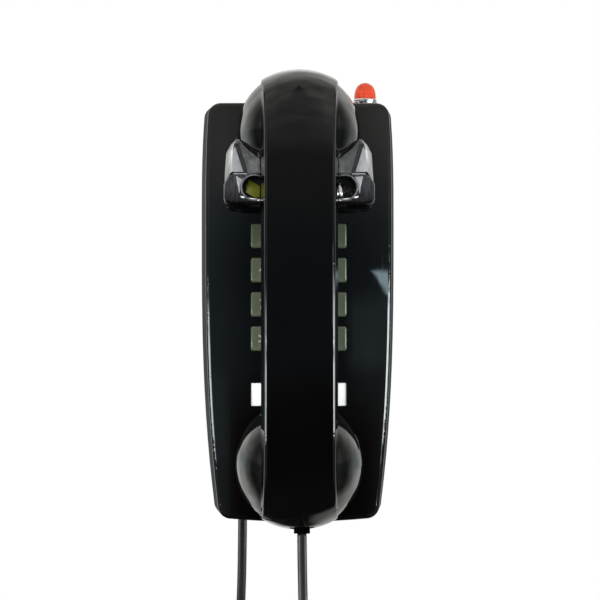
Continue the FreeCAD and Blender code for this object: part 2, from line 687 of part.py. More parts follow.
p = Piece("keypad_frame")
p.pad("XZ", bezel_front - 11.0, bezel_front - 9.0,
      ("rect", -pad_half_x, pad_centre - pad_half_z, pad_half_x, pad_centre + pad_half_z))
p.pad("XZ", bezel_front - 9.0, bezel_front - 3.5,
      ("rect", -pad_half_x, pad_centre - pad_half_z, pad_half_x, pad_centre + pad_half_z))
p.cut("XZ", bezel_front - 9.0, bezel_front - 3.4,
      ("rect", -24.9, pad_centre - 32.8, 24.9, pad_centre + 32.8))
p.pad("XZ", 47.5, 50.4, ("rect", pad_half_x - 0.5, pad_centre - 10.0, 33.0, pad_centre + 10.0),
      ("rect", -33.0, pad_centre - 10.0, -pad_half_x + 0.5, pad_centre + 10.0))
p.cut("XZ", bezel_front - 12.0, bezel_front - 8.0,
      *[("circle", key_at(c, r)[0], key_at(c, r)[1], 2.3) for c, r in grid])
p.cut("XZ", bezel_front - 12.0, bezel_front - 8.0,
      *[("circle", sx * 23.3, pad_centre + sz * 31.3, 1.25) for sx in (-1, 1) for sz in (-1, 1)])
keep(p.body)

p = Piece("key_mat")
p.pad("XZ", 40.6, 41.4, ("rect", -25.0, pad_centre - 33.0, 25.0, pad_centre + 33.0))
p.pad("XZ", 41.4, 41.9, *[("circle", key_at(c, r)[0], key_at(c, r)[1], 3.0) for c, r in grid])
p.cut("XZ", 40.0, 42.0, *[("circle", sx * 23.3, pad_centre + sz * 31.3, 1.5) for sx in (-1, 1) for sz in (-1, 1)])
keep(p.body)
p = Piece("keypad_board")
p.pad("XZ", 39.0, 40.6, ("rect", -25.6, pad_centre - 33.8, 25.6, pad_centre + 33.8))
p.cut("XZ", 38.0, 41.0, *[("circle", sx * 23.3, pad_centre + sz * 31.3, 1.3) for sx in (-1, 1) for sz in (-1, 1)])
keep(p.body)
screws("keypad_screws", [(sx * 23.3, -39.0, pad_centre + sz * 31.3) for sx in (-1, 1) for sz in (-1, 1)],
       2.2, 1.4, 1.2, 5.2, BACKWARD)

# ================================================================== number card
p = Piece("number_card")
p.pad("XZ", 51.9, 52.2, ("rect", -card_wide / 2, card_z - card_tall / 2, card_wide / 2, card_z + card_tall / 2))
keep(p.body)
p = Piece("card_window")
p.pad("XZ", 52.2, 53.9, ("rect", -card_wide / 2 - 1.4, card_z - card_tall / 2 - 1.5,
                        card_wide / 2 + 1.4, card_z + card_tall / 2 + 1.5))
p.ease("Chamfer", 0.5, flat_edges(-53.9))
keep(p.body)

# ================================================================= message lamp
p = Piece("lamp_bezel")
p.turn("XZ", (4.4, 97.0), (5.1, 97.0), (5.1, 106.85), (6.3, 106.85), (6.3, 108.2), (5.8, 108.8), (4.4, 108.8))
p.at(lamp_x, -lamp_depth, 0.0)
keep(p.body)
p = Piece("lamp_lens")
p.turn("XZ", (3.0, 100.0), (4.3, 100.0), (4.3, 108.8), (lamp_radius, 108.8), (lamp_radius, 112.2),
       (5.2, 114.6), (4.0, 116.3), (2.2, 117.2), (0.0, 117.5), (0.0, 112.0), (3.0, 111.0))
p.at(lamp_x, -lamp_depth, 0.0)
keep(p.body)
p = Piece("lamp_bulb")
p.turn("XZ", (0.0, 98.0), (2.2, 98.0), (2.2, 108.6), (1.4, 109.9), (0.0, 110.4))
p.at(lamp_x, -lamp_depth, 0.0)
keep(p.body)
p = Piece("lamp_socket")
p.turn("XZ", (0.0, 88.0), (4.2, 88.0), (4.2, 98.0), (0.0, 98.0))
p.at(lamp_x, -lamp_depth, 0.0)
keep(p.body)

# ======================================================================= handset
gh, gf = cell("grip_half"), cell("grip_front")
mz, mr = cell("mouth_z"), cell("mouth_radius")


def dv(ahead, z, x=0.0):
    """A point of the handset: depth from the cap faces, height."""
    return Vector(x, -(face + ahead), z)


FRONT = [(17.5, 116.9), (29.5, 115.6), (40.5, 112.6), (49.0, 107.2), (55.2, 98.5), (58.9, 85.5),
         (60.0, 65.0), (gf, 5.0), (60.0, -52.0), (58.9, -72.5), (55.2, -85.5), (49.0, -94.2),
         (40.5, -99.8), (29.5, -102.9), (17.5, -104.2)]
REAR = [(13.5, -50.0), (17.5, -45.6), (24.5, -41.5), (31.5, -35.5), (36.3, -26.0), (38.0, -10.0),
        (38.0, 12.0), (36.8, 33.0), (32.2, 45.0), (25.5, 52.3), (17.5, 58.0), (13.5, 62.5)]


def handle(half):
    """The handle: its front is one long line, flat across in the middle and drawn in
    towards its sides at both ends, so that each end is an arc seen from the front."""
    middle, bow, side = 6.35, 34.0, half + 5.0
    s1 = Part.BSplineCurve()
    s1.interpolate([dv(a, z) for a, z in FRONT])
    s2 = Part.BSplineCurve()
    s2.interpolate([Vector(x, 1.0 - (bow - math.sqrt(bow * bow - x * x)) / 110.5, 0)
                    for x in [side * (i / 4.0 - 1.0) for i in range(9)]])
    poles = [[Vector(q.x, p.y, middle + (p.z - middle) * q.y) for q in s2.getPoles()] for p in s1.getPoles()]
    front = Part.BSplineSurface()
    front.buildFromPolesMultsKnots(poles, s1.getMultiplicities(), s2.getMultiplicities(), s1.getKnots(),
                                   s2.getKnots(), False, False, s1.Degree, s2.Degree)
    bar = front.toShape().extrude(Vector(0, 120, 0))
    out = -half - 8.0
    s3 = Part.BSplineCurve()
    s3.interpolate([dv(a, z, out) for a, z in REAR])
    w = Part.Wire([
        Part.LineSegment(dv(80, 130, out), dv(80, -130, out)).toShape(),
        Part.LineSegment(dv(80, -130, out), dv(13.5, -130, out)).toShape(),
        Part.LineSegment(dv(13.5, -130, out), dv(13.5, -50.0, out)).toShape(),
        s3.toShape(),
        Part.LineSegment(dv(13.5, 62.5, out), dv(13.5, 130, out)).toShape(),
        Part.LineSegment(dv(13.5, 130, out), dv(80, 130, out)).toShape(),
    ])
    bar = bar.common(Part.Face(w).extrude(Vector(2 * half + 16.0, 0, 0)))
    # both sides lean back to the handle's full width: the front is the narrowest place
    full = half + 1.95
    k = 1.95 / 20.5
    a = half - k * (80.0 - gf)
    w = Part.makePolygon([dv(80.0, -130, -a), dv(80.0, -130, a), dv(gf - 20.5, -130, full), dv(10.0, -130, full),
                          dv(10.0, -130, -full), dv(gf - 20.5, -130, -full), dv(80.0, -130, -a)])
    return bar.common(Part.Face(w).extrude(Vector(0, 0, 260)))


def cone_cavity(radius, zc):
    """The hollow of a cup: a bore, then a cone up to the wire channel."""
    pts = [(0, 13.4), (radius, 13.4), (radius, 22.0), (17.5, 36.5), (12.0, 43.0), (0, 43.0)]
    w = Part.makePolygon([Vector(r, -(face + a), zc) for r, a in pts + pts[:1]])
    return Part.Face(w).revolve(Vector(0, 0, zc), Vector(0, 1, 0), 360)


grip = handle(gh)
front_edges = []
for e in grip.Edges:
    b = e.BoundBox
    if b.ZLength > 150 and b.XLength < 4.5 and min(abs(b.XMin), abs(b.XMax)) > 8.0 and b.YMin < -(face + 50):
        front_edges.append(e)
grip = grip.makeFillet(1.3, front_edges)
whole = grip.fuse(cup_solid(er, ez)).fuse(cup_solid(mr, mz))
sxx, sdd = cell("socket_x"), cell("socket_depth")
for c in (cone_cavity(er - 3.5, ez), cone_cavity(mr - 4.1, mz),
          Part.makeCylinder(4.4, 138, Vector(0, -(face + 44.0), -62), Vector(0, 0, 1)),
          Part.makeBox(11.2, 12.6, 24, Vector(sxx - 5.6, -sdd - 6.3, -112))):
    whole = whole.cut(c)
feature("handset_shell", whole)

for label, radius, zc in (("receiver_cap", ear_radius, ear_z), ("transmitter_cap", mouth_radius, mouth_z)):
    p = Piece(label)
    f = cap_face
    p.turn("XY", (0.0, -f - 1.1), (20.0, -f - 0.5), (25.0, -f), (radius - 2.4, -f), (radius - 0.6, -f - 1.5),
           (radius, -f - 4.0), (radius, -f - 13.5), (radius - 2.7, -f - 13.5), (radius - 2.7, -f - 3.7),
           (0.0, -f - 3.7))
    p.cut("XZ", cap_face - 1.0, cap_face + 5.0, ("circle", 0.0, 0.0, 1.3))
    p.cut("XZ", cap_face - 1.0, cap_face + 5.0, ("circle", 7.0, 0.0, 1.3))
    p.ring(p.last, 6)
    p.cut("XZ", cap_face - 1.0, cap_face + 5.0, ("circle", 14.0, 0.0, 1.3))
    p.ring(p.last, 12)
    p.at(0.0, 0.0, zc)
    keep(p.body)

p = Piece("receiver_capsule")
f = cap_face
p.turn("XY", (0.0, -f - 4.1), (24.0, -f - 4.1), (24.0, -f - 7.0), (26.0, -f - 7.0), (26.0, -f - 9.5),
       (22.0, -f - 11.0), (22.0, -f - 22.0), (0.0, -f - 22.0))
p.at(0.0, 0.0, ear_z)
keep(p.body)
p = Piece("transmitter_capsule")
p.turn("XY", (0.0, -f - 4.1), (24.0, -f - 4.1), (24.0, -f - 22.6), (0.0, -f - 22.6))
p.at(0.0, 0.0, mouth_z)
keep(p.body)
p = Piece("transmitter_cup")
p.turn("XY", (24.2, -f - 9.5), (25.2, -f - 9.5), (25.2, -f - 23.8), (0.0, -f - 23.8), (0.0, -f - 22.8),
       (24.2, -f - 22.8))
p.at(0.0, 0.0, mouth_z)
keep(p.body)

p = Piece("handset_socket")
p.pad("XY", -101.6, -88.3, ("rect", socket_x - 5.5, -socket_depth - 6.2, socket_x + 5.5, -socket_depth + 6.2))
p.cut("XY", -102.0, -91.5, ("rect", socket_x - 3.95, -socket_depth - 3.4, socket_x + 3.95, -socket_depth + 3.4))
keep(p.body)

# ================================================================== handset cord
for label, x, d, z0, z1 in (("cord_plug_base", jack_x, jack_depth, -105.0, -92.0),
                            ("cord_plug_handset", socket_x, socket_depth, -104.0, -92.0)):
    p = Piece(label)
    p.pad("XY", z0, z1, ("rect", x - 3.8, -d - 3.2, x + 3.8, -d + 3.2))
    p.cut("XY", z1 - 4.0, z1, *[("rect", x - 2.4 + 1.3 * i, -d - 3.3, x - 1.5 + 1.3 * i, -d - 2.4) for i in range(4)])
    keep(p.body)

ax, ay = jx, -jd
bx, by = sxx, -sdd
across = math.hypot(bx - ax, by - ay)
ux, uy = (bx - ax) / across, (by - ay) / across


def hang(s, z):
    """A point of the cord's route: s from the base's jack towards the handset's."""
    return Vector(ax + ux * s, ay + uy * s, z)


w0 = across
mid, bow = w0 / 2, 40.0
route = [hang(0, -105), hang(-0.4, -137), hang(-5.0, -175), hang(-8.4, -212), hang(-9.6, -248)]
k15 = bow / math.cos(math.radians(15))
for a in (195, 225, 255, 285, 315, 345):
    route.append(hang(mid + k15 * math.cos(math.radians(a)), -272 + k15 * math.sin(math.radians(a))))
route += [hang(w0 + 9.9, -248), hang(w0 + 8.6, -212), hang(w0 + 4.8, -175), hang(w0 + 0.6, -137), hang(w0, -104)]


def bend_runs(points):
    """Straight runs and the tangent arcs between them: (kind, points, radius)."""
    n = len(points)
    parts = []
    start = points[0]
    for i in range(1, n - 1):
        u = (points[i] - points[i - 1])
        v = (points[i + 1] - points[i])
        lu, lv = u.Length, v.Length
        un, vn = u / lu, v / lv
        turn = math.acos(max(-1.0, min(1.0, un.dot(vn))))
        back = 0.45 * min(lu, lv)
        radius = back / math.tan(turn / 2)
        a = points[i] - un * back
        b = points[i] + vn * back
        bis = (vn - un)
        bis = bis / bis.Length
        centre = points[i] + bis * math.hypot(radius, back)
        m = centre - bis * radius
        parts.append(("run", start, a))
        parts.append(("arc", a, m, b, radius, math.degrees(turn)))
        start = b
    parts.append(("run", start, points[-1]))
    return parts


parts = bend_runs(route)
for q in parts:
    if q[0] == "arc":
        print("cord radius %.1f mm, turn %.1f deg" % (q[4], q[5]))


def split_run(parts, index, share):
    """Cuts the run number index in two at a share of its length."""
    n = -1
    for i, q in enumerate(parts):
        if q[0] == "run":
            n += 1
            if n == index:
                m = q[1] + (q[2] - q[1]) * share
                return parts[:i] + [("run", q[1], m)], [("run", m, q[2])] + parts[i + 1:]


lead_a, rest = split_run(parts, 1, 0.5)
count = len([q for q in rest if q[0] == "run"])
coil_part, lead_b = split_run(rest, count - 2, 0.5)


def tube(label, pieces, width):
    edges = []
    length = 0.0
    for q in pieces:
        if q[0] == "run":
            e = Part.LineSegment(q[1], q[2]).toShape()
        else:
            e = Part.Arc(q[1], q[2], q[3]).toShape()
        edges.append(e)
        length += e.Length
    path = Part.Wire(edges)
    d = pieces[0][2] - pieces[0][1]
    ring = Part.Wire([Part.makeCircle(width / 2, pieces[0][1], d)])
    solid = path.makePipeShell([ring], True, False)
    want = math.pi * (width / 2) ** 2 * length
    print("%s: length %.1f mm, volume %.0f of %.0f mm3" % (label, length, solid.Volume, want))
    if abs(solid.Volume - want) > 0.02 * want:
        raise RuntimeError(label + ": the tube's volume is not its section times its length")
    return solid


ww, cwid = cell("wire_width"), cell("coil_width")
feature("cord_lead_base", tube("cord_lead_base", lead_a, ww))
feature("cord_coil", tube("cord_coil", coil_part, cwid))
trimmed = list(lead_b)
first = trimmed[0]
trimmed[0] = ("run", first[1] + (first[2] - first[1]) / (first[2] - first[1]).Length * 0.3, first[2])
feature("cord_lead_handset", tube("cord_lead_handset", trimmed, ww))

# ======================================================================== checks
doc.recompute()
bad = [o.Label for o in doc.Objects if "Invalid" in o.State or "Error" in o.State]
if bad:
    raise RuntimeError("failed objects: %s" % bad)
seen = set()
for o in kept:
    s = o.Shape
    if s.isNull() or not s.isValid() or not s.Solids or s.Volume <= 0:
        raise RuntimeError("%s has no valid solid" % o.Label)
    if o.Label in seen:
        raise RuntimeError("two pieces are called %s" % o.Label)
    seen.add(o.Label)
    if len(o.Label) > 59:
        raise RuntimeError("name too long")
if len(kept) > 60:
    raise RuntimeError("too many pieces")
os.makedirs("parts", exist_ok=True)
for old in os.listdir("parts"):
    if old.endswith(".step") and old[:-5] not in seen:
        os.remove(os.path.join("parts", old))
for o in kept:
    o.Shape.exportStep(os.path.join("parts", o.Label + ".step"))
    b = o.Shape.BoundBox
    print("%-20s solids %d  x %.1f %.1f  y %.1f %.1f  z %.1f %.1f" % (
        o.Label, len(o.Shape.Solids), b.XMin, b.XMax, b.YMin, b.YMax, b.ZMin, b.ZMax))
print("pieces:", len(kept))
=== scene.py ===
import bmesh
import bpy
import json
import math
from mathutils import Matrix, Vector


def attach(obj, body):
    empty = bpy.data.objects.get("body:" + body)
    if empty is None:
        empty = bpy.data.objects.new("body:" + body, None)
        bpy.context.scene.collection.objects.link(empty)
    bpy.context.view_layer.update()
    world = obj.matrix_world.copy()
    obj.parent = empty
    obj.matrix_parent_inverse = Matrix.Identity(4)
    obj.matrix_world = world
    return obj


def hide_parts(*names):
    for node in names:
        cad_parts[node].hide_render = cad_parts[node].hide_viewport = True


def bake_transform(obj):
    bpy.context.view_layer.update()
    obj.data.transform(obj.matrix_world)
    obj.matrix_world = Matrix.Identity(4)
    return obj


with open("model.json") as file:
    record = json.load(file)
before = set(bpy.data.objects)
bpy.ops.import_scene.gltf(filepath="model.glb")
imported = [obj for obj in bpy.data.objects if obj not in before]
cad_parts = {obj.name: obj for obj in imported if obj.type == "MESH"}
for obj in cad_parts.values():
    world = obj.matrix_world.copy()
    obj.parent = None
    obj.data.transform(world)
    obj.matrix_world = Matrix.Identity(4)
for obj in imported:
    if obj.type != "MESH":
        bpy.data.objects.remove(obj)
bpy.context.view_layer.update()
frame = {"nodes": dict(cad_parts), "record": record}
scene = bpy.context.scene
nodes = frame["nodes"]
MM = 0.001


# ------------------------------------------------------------------ camera
cam_data = bpy.data.cameras.new("camera")
cam_data.sensor_width = 36.0
cam_data.lens = 88.36
cam_data.clip_start = 0.01
cam_data.clip_end = 50.0
camera = bpy.data.objects.new("camera", cam_data)
camera.location = (-0.0070, -0.7840, 0.0061)
camera.rotation_euler = (math.radians(90), 0, math.radians(-0.6))
scene.collection.objects.link(camera)
scene.camera = camera
scene.view_settings.view_transform = "Standard"
scene.view_settings.look = "None"


# ------------------------------------------------------------------ helpers
def link(name, mesh, smooth=True):
    obj = bpy.data.objects.new(name, mesh)
    scene.collection.objects.link(obj)
    if smooth:
        for f in mesh.polygons:
            f.use_smooth = True
    return obj


def mesh_of(name, verts, faces, smooth=True):
    mesh = bpy.data.meshes.new(name)
    mesh.from_pydata([tuple(v) for v in verts], [], faces)
    mesh.validate()
    mesh.update()
    return link(name, mesh, smooth)


def clean(obj, merge=1e-6):
    bm = bmesh.new()
    bm.from_mesh(obj.data)
    if merge:
        bmesh.ops.remove_doubles(bm, verts=bm.verts, dist=merge)
    bmesh.ops.recalc_face_normals(bm, faces=bm.faces)
    bm.to_mesh(obj.data)
    bm.free()
    return obj


def apply_all(obj):
    """Freezes the modifiers into the mesh."""
    bpy.context.view_layer.update()
    deps = bpy.context.evaluated_depsgraph_get()
    mesh = bpy.data.meshes.new_from_object(obj.evaluated_get(deps))
    obj.modifiers.clear()
    obj.data = mesh
    return obj


def sharpen(obj, degrees=32.0):
    """Smooth shading with creases kept at the sharp edges."""
    bm = bmesh.new()
    bm.from_mesh(obj.data)
    limit = math.radians(degrees)
    for f in bm.faces:
        f.smooth = True
    for e in bm.edges:
        e.smooth = not (len(e.link_faces) == 2 and e.calc_face_angle(0.0) > limit)
    bm.to_mesh(obj.data)
    bm.free()
    return obj


def smoothstep(a, b, x):
    t = max(0.0, min(1.0, (x - a) / (b - a)))
    return t * t * (3 - 2 * t)


# ------------------------------------------------------------------ materials
def material(name):
    m = bpy.data.materials.new(name)
    m.use_nodes = True
    tree = m.node_tree
    shader = [n for n in tree.nodes if n.type == "BSDF_PRINCIPLED"][0]
    return m, tree, shader


def node(tree, kind, **inputs):
    n = tree.nodes.new(kind)
    for k, v in inputs.items():
        key = k.replace("_", " ")
        if key in n.inputs:
            n.inputs[key].default_value = v
        else:
            setattr(n, k, v)
    return n


def plastic(name, colour, rough=0.12, coat=0.0, mottle=0.15, dust=0.06, scratch=0.02, tint=None,
            sss=0.0, spec=0.5, grain=0.0, grain_scale=900.0):
    """Moulded plastic: slightly uneven colour, faint scratches and dust in its gloss,
    and a very shallow ripple of the mould."""
    m, t, s = material(name)
    L = t.links.new
    co = node(t, "ShaderNodeTexCoord")
    big = node(t, "ShaderNodeTexNoise", Scale=38.0, Detail=4.0, Roughness=0.55)
    L(co.outputs["Object"], big.inputs["Vector"])
    ramp = node(t, "ShaderNodeValToRGB")
    ramp.color_ramp.elements[0].position = 0.3
    ramp.color_ramp.elements[1].position = 0.72
    low = tint or tuple(c * (1 - mottle) for c in colour)
    high = tuple(min(1.0, c * (1 + mottle)) for c in colour)
    ramp.color_ramp.elements[0].color = (*low, 1)
    ramp.color_ramp.elements[1].color = (*high, 1)
    L(big.outputs["Fac"], ramp.inputs["Fac"])
    L(ramp.outputs["Color"], s.inputs["Base Color"])
    # gloss: fine handling marks, all in one direction and another, with soft smears
    m1 = node(t, "ShaderNodeMapping")
    m1.inputs["Scale"].default_value = (900.0, 900.0, 14.0)
    m1.inputs["Rotation"].default_value = (0.0, 0.35, 0.12)
    L(co.outputs["Object"], m1.inputs["Vector"])
    lines = node(t, "ShaderNodeTexNoise", Scale=1.0, Detail=2.0)
    L(m1.outputs["Vector"], lines.inputs["Vector"])
    thin = node(t, "ShaderNodeMapRange")
    thin.inputs["From Min"].default_value = 0.66
    thin.inputs["From Max"].default_value = 0.8
    thin.inputs["To Max"].default_value = scratch
    L(lines.outputs["Fac"], thin.inputs["Value"])
    smear = node(t, "ShaderNodeTexNoise", Scale=70.0, Detail=5.0, Roughness=0.65)
    L(co.outputs["Object"], smear.inputs["Vector"])
    soft = node(t, "ShaderNodeMapRange")
    soft.inputs["From Min"].default_value = 0.45
    soft.inputs["From Max"].default_value = 0.8
    soft.inputs["To Min"].default_value = rough
    soft.inputs["To Max"].default_value = rough + dust
    L(smear.outputs["Fac"], soft.inputs["Value"])
    add = node(t, "ShaderNodeMath", operation="ADD")
    L(thin.outputs["Result"], add.inputs[0])
    L(soft.outputs["Result"], add.inputs[1])
    L(add.outputs["Value"], s.inputs["Roughness"])
    wave = node(t, "ShaderNodeTexNoise", Scale=55.0, Detail=1.5)
    L(co.outputs["Object"], wave.inputs["Vector"])
    bump = node(t, "ShaderNodeBump")
    bump.inputs["Strength"].default_value = 0.1
    bump.inputs["Distance"].default_value = 0.0002
    L(wave.outputs["Fac"], bump.inputs["Height"])
    last = bump
    if grain:
        fine = node(t, "ShaderNodeTexNoise", Scale=grain_scale, Detail=2.0)
        L(co.outputs["Object"], fine.inputs["Vector"])
        b2 = node(t, "ShaderNodeBump")
        b2.inputs["Strength"].default_value = grain
        b2.inputs["Distance"].default_value = 0.0002
        L(fine.outputs["Fac"], b2.inputs["Height"])
        L(bump.outputs["Normal"], b2.inputs["Normal"])
        last = b2
    L(last.outputs["Normal"], s.inputs["Normal"])
    s.inputs["Specular IOR Level"].default_value = spec
    s.inputs["IOR"].default_value = 1.5
    s.inputs["Coat Weight"].default_value = coat
    s.inputs["Coat Roughness"].default_value = 0.05
    return m


def clear(name, tint=(0.93, 0.95, 0.96), rough=0.02, ior=1.49, cloud=0.04):
    """Clear moulded plastic with faint flow marks and a few scuffs."""
    m, t, s = material(name)
    L = t.links.new
    co = node(t, "ShaderNodeTexCoord")
    n1 = node(t, "ShaderNodeTexNoise", Scale=90.0, Detail=4.0)
    L(co.outputs["Object"], n1.inputs["Vector"])
    r = node(t, "ShaderNodeMapRange")
    r.inputs["From Min"].default_value = 0.5
    r.inputs["From Max"].default_value = 0.85
    r.inputs["To Min"].default_value = rough
    r.inputs["To Max"].default_value = rough + cloud
    L(n1.outputs["Fac"], r.inputs["Value"])
    L(r.outputs["Result"], s.inputs["Roughness"])
    n2 = node(t, "ShaderNodeTexNoise", Scale=45.0, Detail=2.0)
    L(co.outputs["Object"], n2.inputs["Vector"])
    ramp = node(t, "ShaderNodeValToRGB")
    ramp.color_ramp.elements[0].color = (*[c * 0.96 for c in tint], 1)
    ramp.color_ramp.elements[1].color = (*tint, 1)
    L(n2.outputs["Fac"], ramp.inputs["Fac"])
    L(ramp.outputs["Color"], s.inputs["Base Color"])
    bump = node(t, "ShaderNodeBump")
    bump.inputs["Strength"].default_value = 0.25
    bump.inputs["Distance"].default_value = 0.0003
    L(n2.outputs["Fac"], bump.inputs["Height"])
    L(bump.outputs["Normal"], s.inputs["Normal"])
    s.inputs["Transmission Weight"].default_value = 1.0
    s.inputs["IOR"].default_value = ior
    return m


def metal(name, colour, rough=0.25, brushed=0.0, spots=0.1, dark=None):
    m, t, s = material(name)
    L = t.links.new
    co = node(t, "ShaderNodeTexCoord")
    n1 = node(t, "ShaderNodeTexVoronoi" if brushed < 0 else "ShaderNodeTexNoise", Scale=160.0)
    L(co.outputs["Object"], n1.inputs["Vector"])
    ramp = node(t, "ShaderNodeValToRGB")
    ramp.color_ramp.elements[0].position = 0.25
    ramp.color_ramp.elements[1].position = 0.75
    ramp.color_ramp.elements[0].color = (*(dark or [c * (1 - spots) for c in colour]), 1)
    ramp.color_ramp.elements[1].color = (*colour, 1)
    L(n1.outputs["Color" if brushed < 0 else "Fac"], ramp.inputs["Fac"])
    L(ramp.outputs["Color"], s.inputs["Base Color"])
    mp = node(t, "ShaderNodeMapping")
    mp.inputs["Scale"].default_value = (60.0, 60.0, 2400.0)
    L(co.outputs["Object"], mp.inputs["Vector"])
    n2 = node(t, "ShaderNodeTexNoise", Scale=1.0, Detail=3.0)
    L(mp.outputs["Vector"], n2.inputs["Vector"])
    r = node(t, "ShaderNodeMapRange")
    r.inputs["To Min"].default_value = max(0.03, rough - 0.06)
    r.inputs["To Max"].default_value = rough + 0.1
    L(n2.outputs["Fac"], r.inputs["Value"])
    L(r.outputs["Result"], s.inputs["Roughness"])
    s.inputs["Metallic"].default_value = 1.0
    return m


black = plastic("black_plastic_gloss", (0.0010, 0.0010, 0.0011), rough=0.018, mottle=0.25, dust=0.035, scratch=0.04)
black_cord = plastic("cord_jacket_black", (0.010, 0.010, 0.011), rough=0.28, mottle=0.3, dust=0.12, scratch=0.05, grain=0.25)
grey = plastic("grey_plastic_dull", (0.10, 0.10, 0.105), rough=0.4, dust=0.1, grain=0.3)
key_grey = plastic("key_plastic_olive", (0.066, 0.078, 0.053), rough=0.16, mottle=0.08, dust=0.1, scratch=0.08)
board_green = plastic("board_green", (0.03, 0.10, 0.05), rough=0.35, mottle=0.2)
rubber = plastic("rubber_mat_dark", (0.03, 0.03, 0.032), rough=0.6, grain=0.4)
tape = plastic("coil_tape_yellow", (0.42, 0.28, 0.06), rough=0.5, mottle=0.2, grain=0.3)
clear_plastic = clear("clear_plastic_cradle")
clear_plug = clear("clear_plastic_plug", tint=(0.30, 0.30, 0.31), rough=0.12)
zinc = metal("zinc_plated_steel", (0.62, 0.62, 0.58), rough=0.32, spots=0.2, brushed=-1)
chrome = metal("chrome_bright", (0.86, 0.86, 0.87), rough=0.07)
brass = metal("brass_plain", (0.72, 0.52, 0.22), rough=0.22, spots=0.25)

# card: matt paper with a faint fibre
card, t, s = material("card_paper")
co = node(t, "ShaderNodeTexCoord")
n1 = node(t, "ShaderNodeTexNoise", Scale=700.0, Detail=6.0)
t.links.new(co.outputs["Object"], n1.inputs["Vector"])
ramp = node(t, "ShaderNodeValToRGB")
ramp.color_ramp.elements[0].color = (0.86, 0.86, 0.84, 1)
ramp.color_ramp.elements[1].color = (0.95, 0.95, 0.94, 1)
t.links.new(n1.outputs["Fac"], ramp.inputs["Fac"])
t.links.new(ramp.outputs["Color"], s.inputs["Base Color"])
s.inputs["Roughness"].default_value = 0.7
b = node(t, "ShaderNodeBump")
b.inputs["Strength"].default_value = 0.2
b.inputs["Distance"].default_value = 0.0001
t.links.new(n1.outputs["Fac"], b.inputs["Height"])
t.links.new(b.outputs["Normal"], s.inputs["Normal"])

# red jewel of the lamp
red, t, s = material("red_lens_jewel")
co = node(t, "ShaderNodeTexCoord")
n1 = node(t, "ShaderNodeTexNoise", Scale=220.0, Detail=3.0)
t.links.new(co.outputs["Object"], n1.inputs["Vector"])
ramp = node(t, "ShaderNodeValToRGB")
ramp.color_ramp.elements[0].color = (0.78, 0.045, 0.010, 1)
ramp.color_ramp.elements[1].color = (0.95, 0.12, 0.030, 1)
t.links.new(n1.outputs["Fac"], ramp.inputs["Fac"])
t.links.new(ramp.outputs["Color"], s.inputs["Base Color"])
s.inputs["Transmission Weight"].default_value = 0.55
s.inputs["IOR"].default_value = 1.49
s.inputs["Roughness"].default_value = 0.08

# thin frosted glass of the bulb
bulb, t, s = material("bulb_glass_clear")
co = node(t, "ShaderNodeTexCoord")
n1 = node(t, "ShaderNodeTexNoise", Scale=300.0)
t.links.new(co.outputs["Object"], n1.inputs["Vector"])
ramp = node(t, "ShaderNodeValToRGB")
ramp.color_ramp.elements[0].color = (0.85, 0.82, 0.75, 1)
ramp.color_ramp.elements[1].color = (0.95, 0.93, 0.88, 1)
t.links.new(n1.outputs["Fac"], ramp.inputs["Fac"])
t.links.new(ramp.outputs["Color"], s.inputs["Base Color"])
s.inputs["Transmission Weight"].default_value = 0.6
s.inputs["Roughness"].default_value = 0.15

BY_SLOT = {
    "black_plastic": black, "clear_plastic": clear_plastic, "clear_plastic_plug": clear_plug,
    "key_plastic": key_grey, "grey_plastic": grey, "red_lens": red, "bulb_glass": bulb,
    "chrome": chrome, "zinc_steel": zinc, "brass": brass, "coil_tape": tape, "board": board_green,
    "rubber_mat": rubber, "card": card, "cord_jacket": black_cord,
}
slots = {p["node"]: p["material_slot"] for p in frame["record"]["subparts"]}
for name, obj in nodes.items():
    use = BY_SLOT.get(slots.get(name), None)
    if use is None:
        print("no slot for", name)
        use = grey
    if name in ("handset_socket", "handset_jack", "cord_plug_handset"):
        use = black
    obj.data.materials.clear()
    obj.data.materials.append(use)


# ------------------------------------------------------------------ handset cord
ROUTE = [
    (-0.0285, -0.03, -0.105), (-0.028685, -0.029645, -0.137), (-0.030814, -0.025567, -0.175),
    (-0.032387, -0.022553, -0.212), (-0.032942, -0.02149, -0.248), (-0.032159, -0.02299, -0.282718),
    (-0.0272, -0.032491, -0.301282), (-0.018609, -0.048949, -0.312), (-0.008691, -0.067951, -0.312),
    (-0.0001, -0.084409, -0.301282), (0.004859, -0.09391, -0.282718), (0.005781, -0.095676, -0.248),
    (0.005179, -0.094524, -0.212), (0.003421, -0.091155, -0.175), (0.001478, -0.087432, -0.137),
    (0.0012, -0.0869, -0.104),
]


def spline_points(name, points, resolution=24):
    """The smooth line of a NURBS spline through its control points' hull."""
    curve = bpy.data.curves.new(name, "CURVE")
    curve.dimensions = "3D"
    curve.resolution_u = resolution
    s = curve.splines.new("NURBS")
    s.points.add(len(points) - 1)
    for p, co in zip(s.points, points):
        p.co = (*co, 1.0)
    s.order_u = 3
    s.use_endpoint_u = True
    obj = bpy.data.objects.new(name, curve)
    scene.collection.objects.link(obj)
    bpy.context.view_layer.update()
    mesh = bpy.data.meshes.new_from_object(obj.evaluated_get(bpy.context.evaluated_depsgraph_get()))
    line = [v.co.copy() for v in mesh.vertices]
    bpy.data.objects.remove(obj)
    return line


line = spline_points("cord_route", ROUTE)
if (line[0] - Vector(ROUTE[0])).length > (line[-1] - Vector(ROUTE[0])).length:
    line.reverse()
along = [0.0]
for a, b in zip(line, line[1:]):
    along.append(along[-1] + (b - a).length)
TOTAL = along[-1]


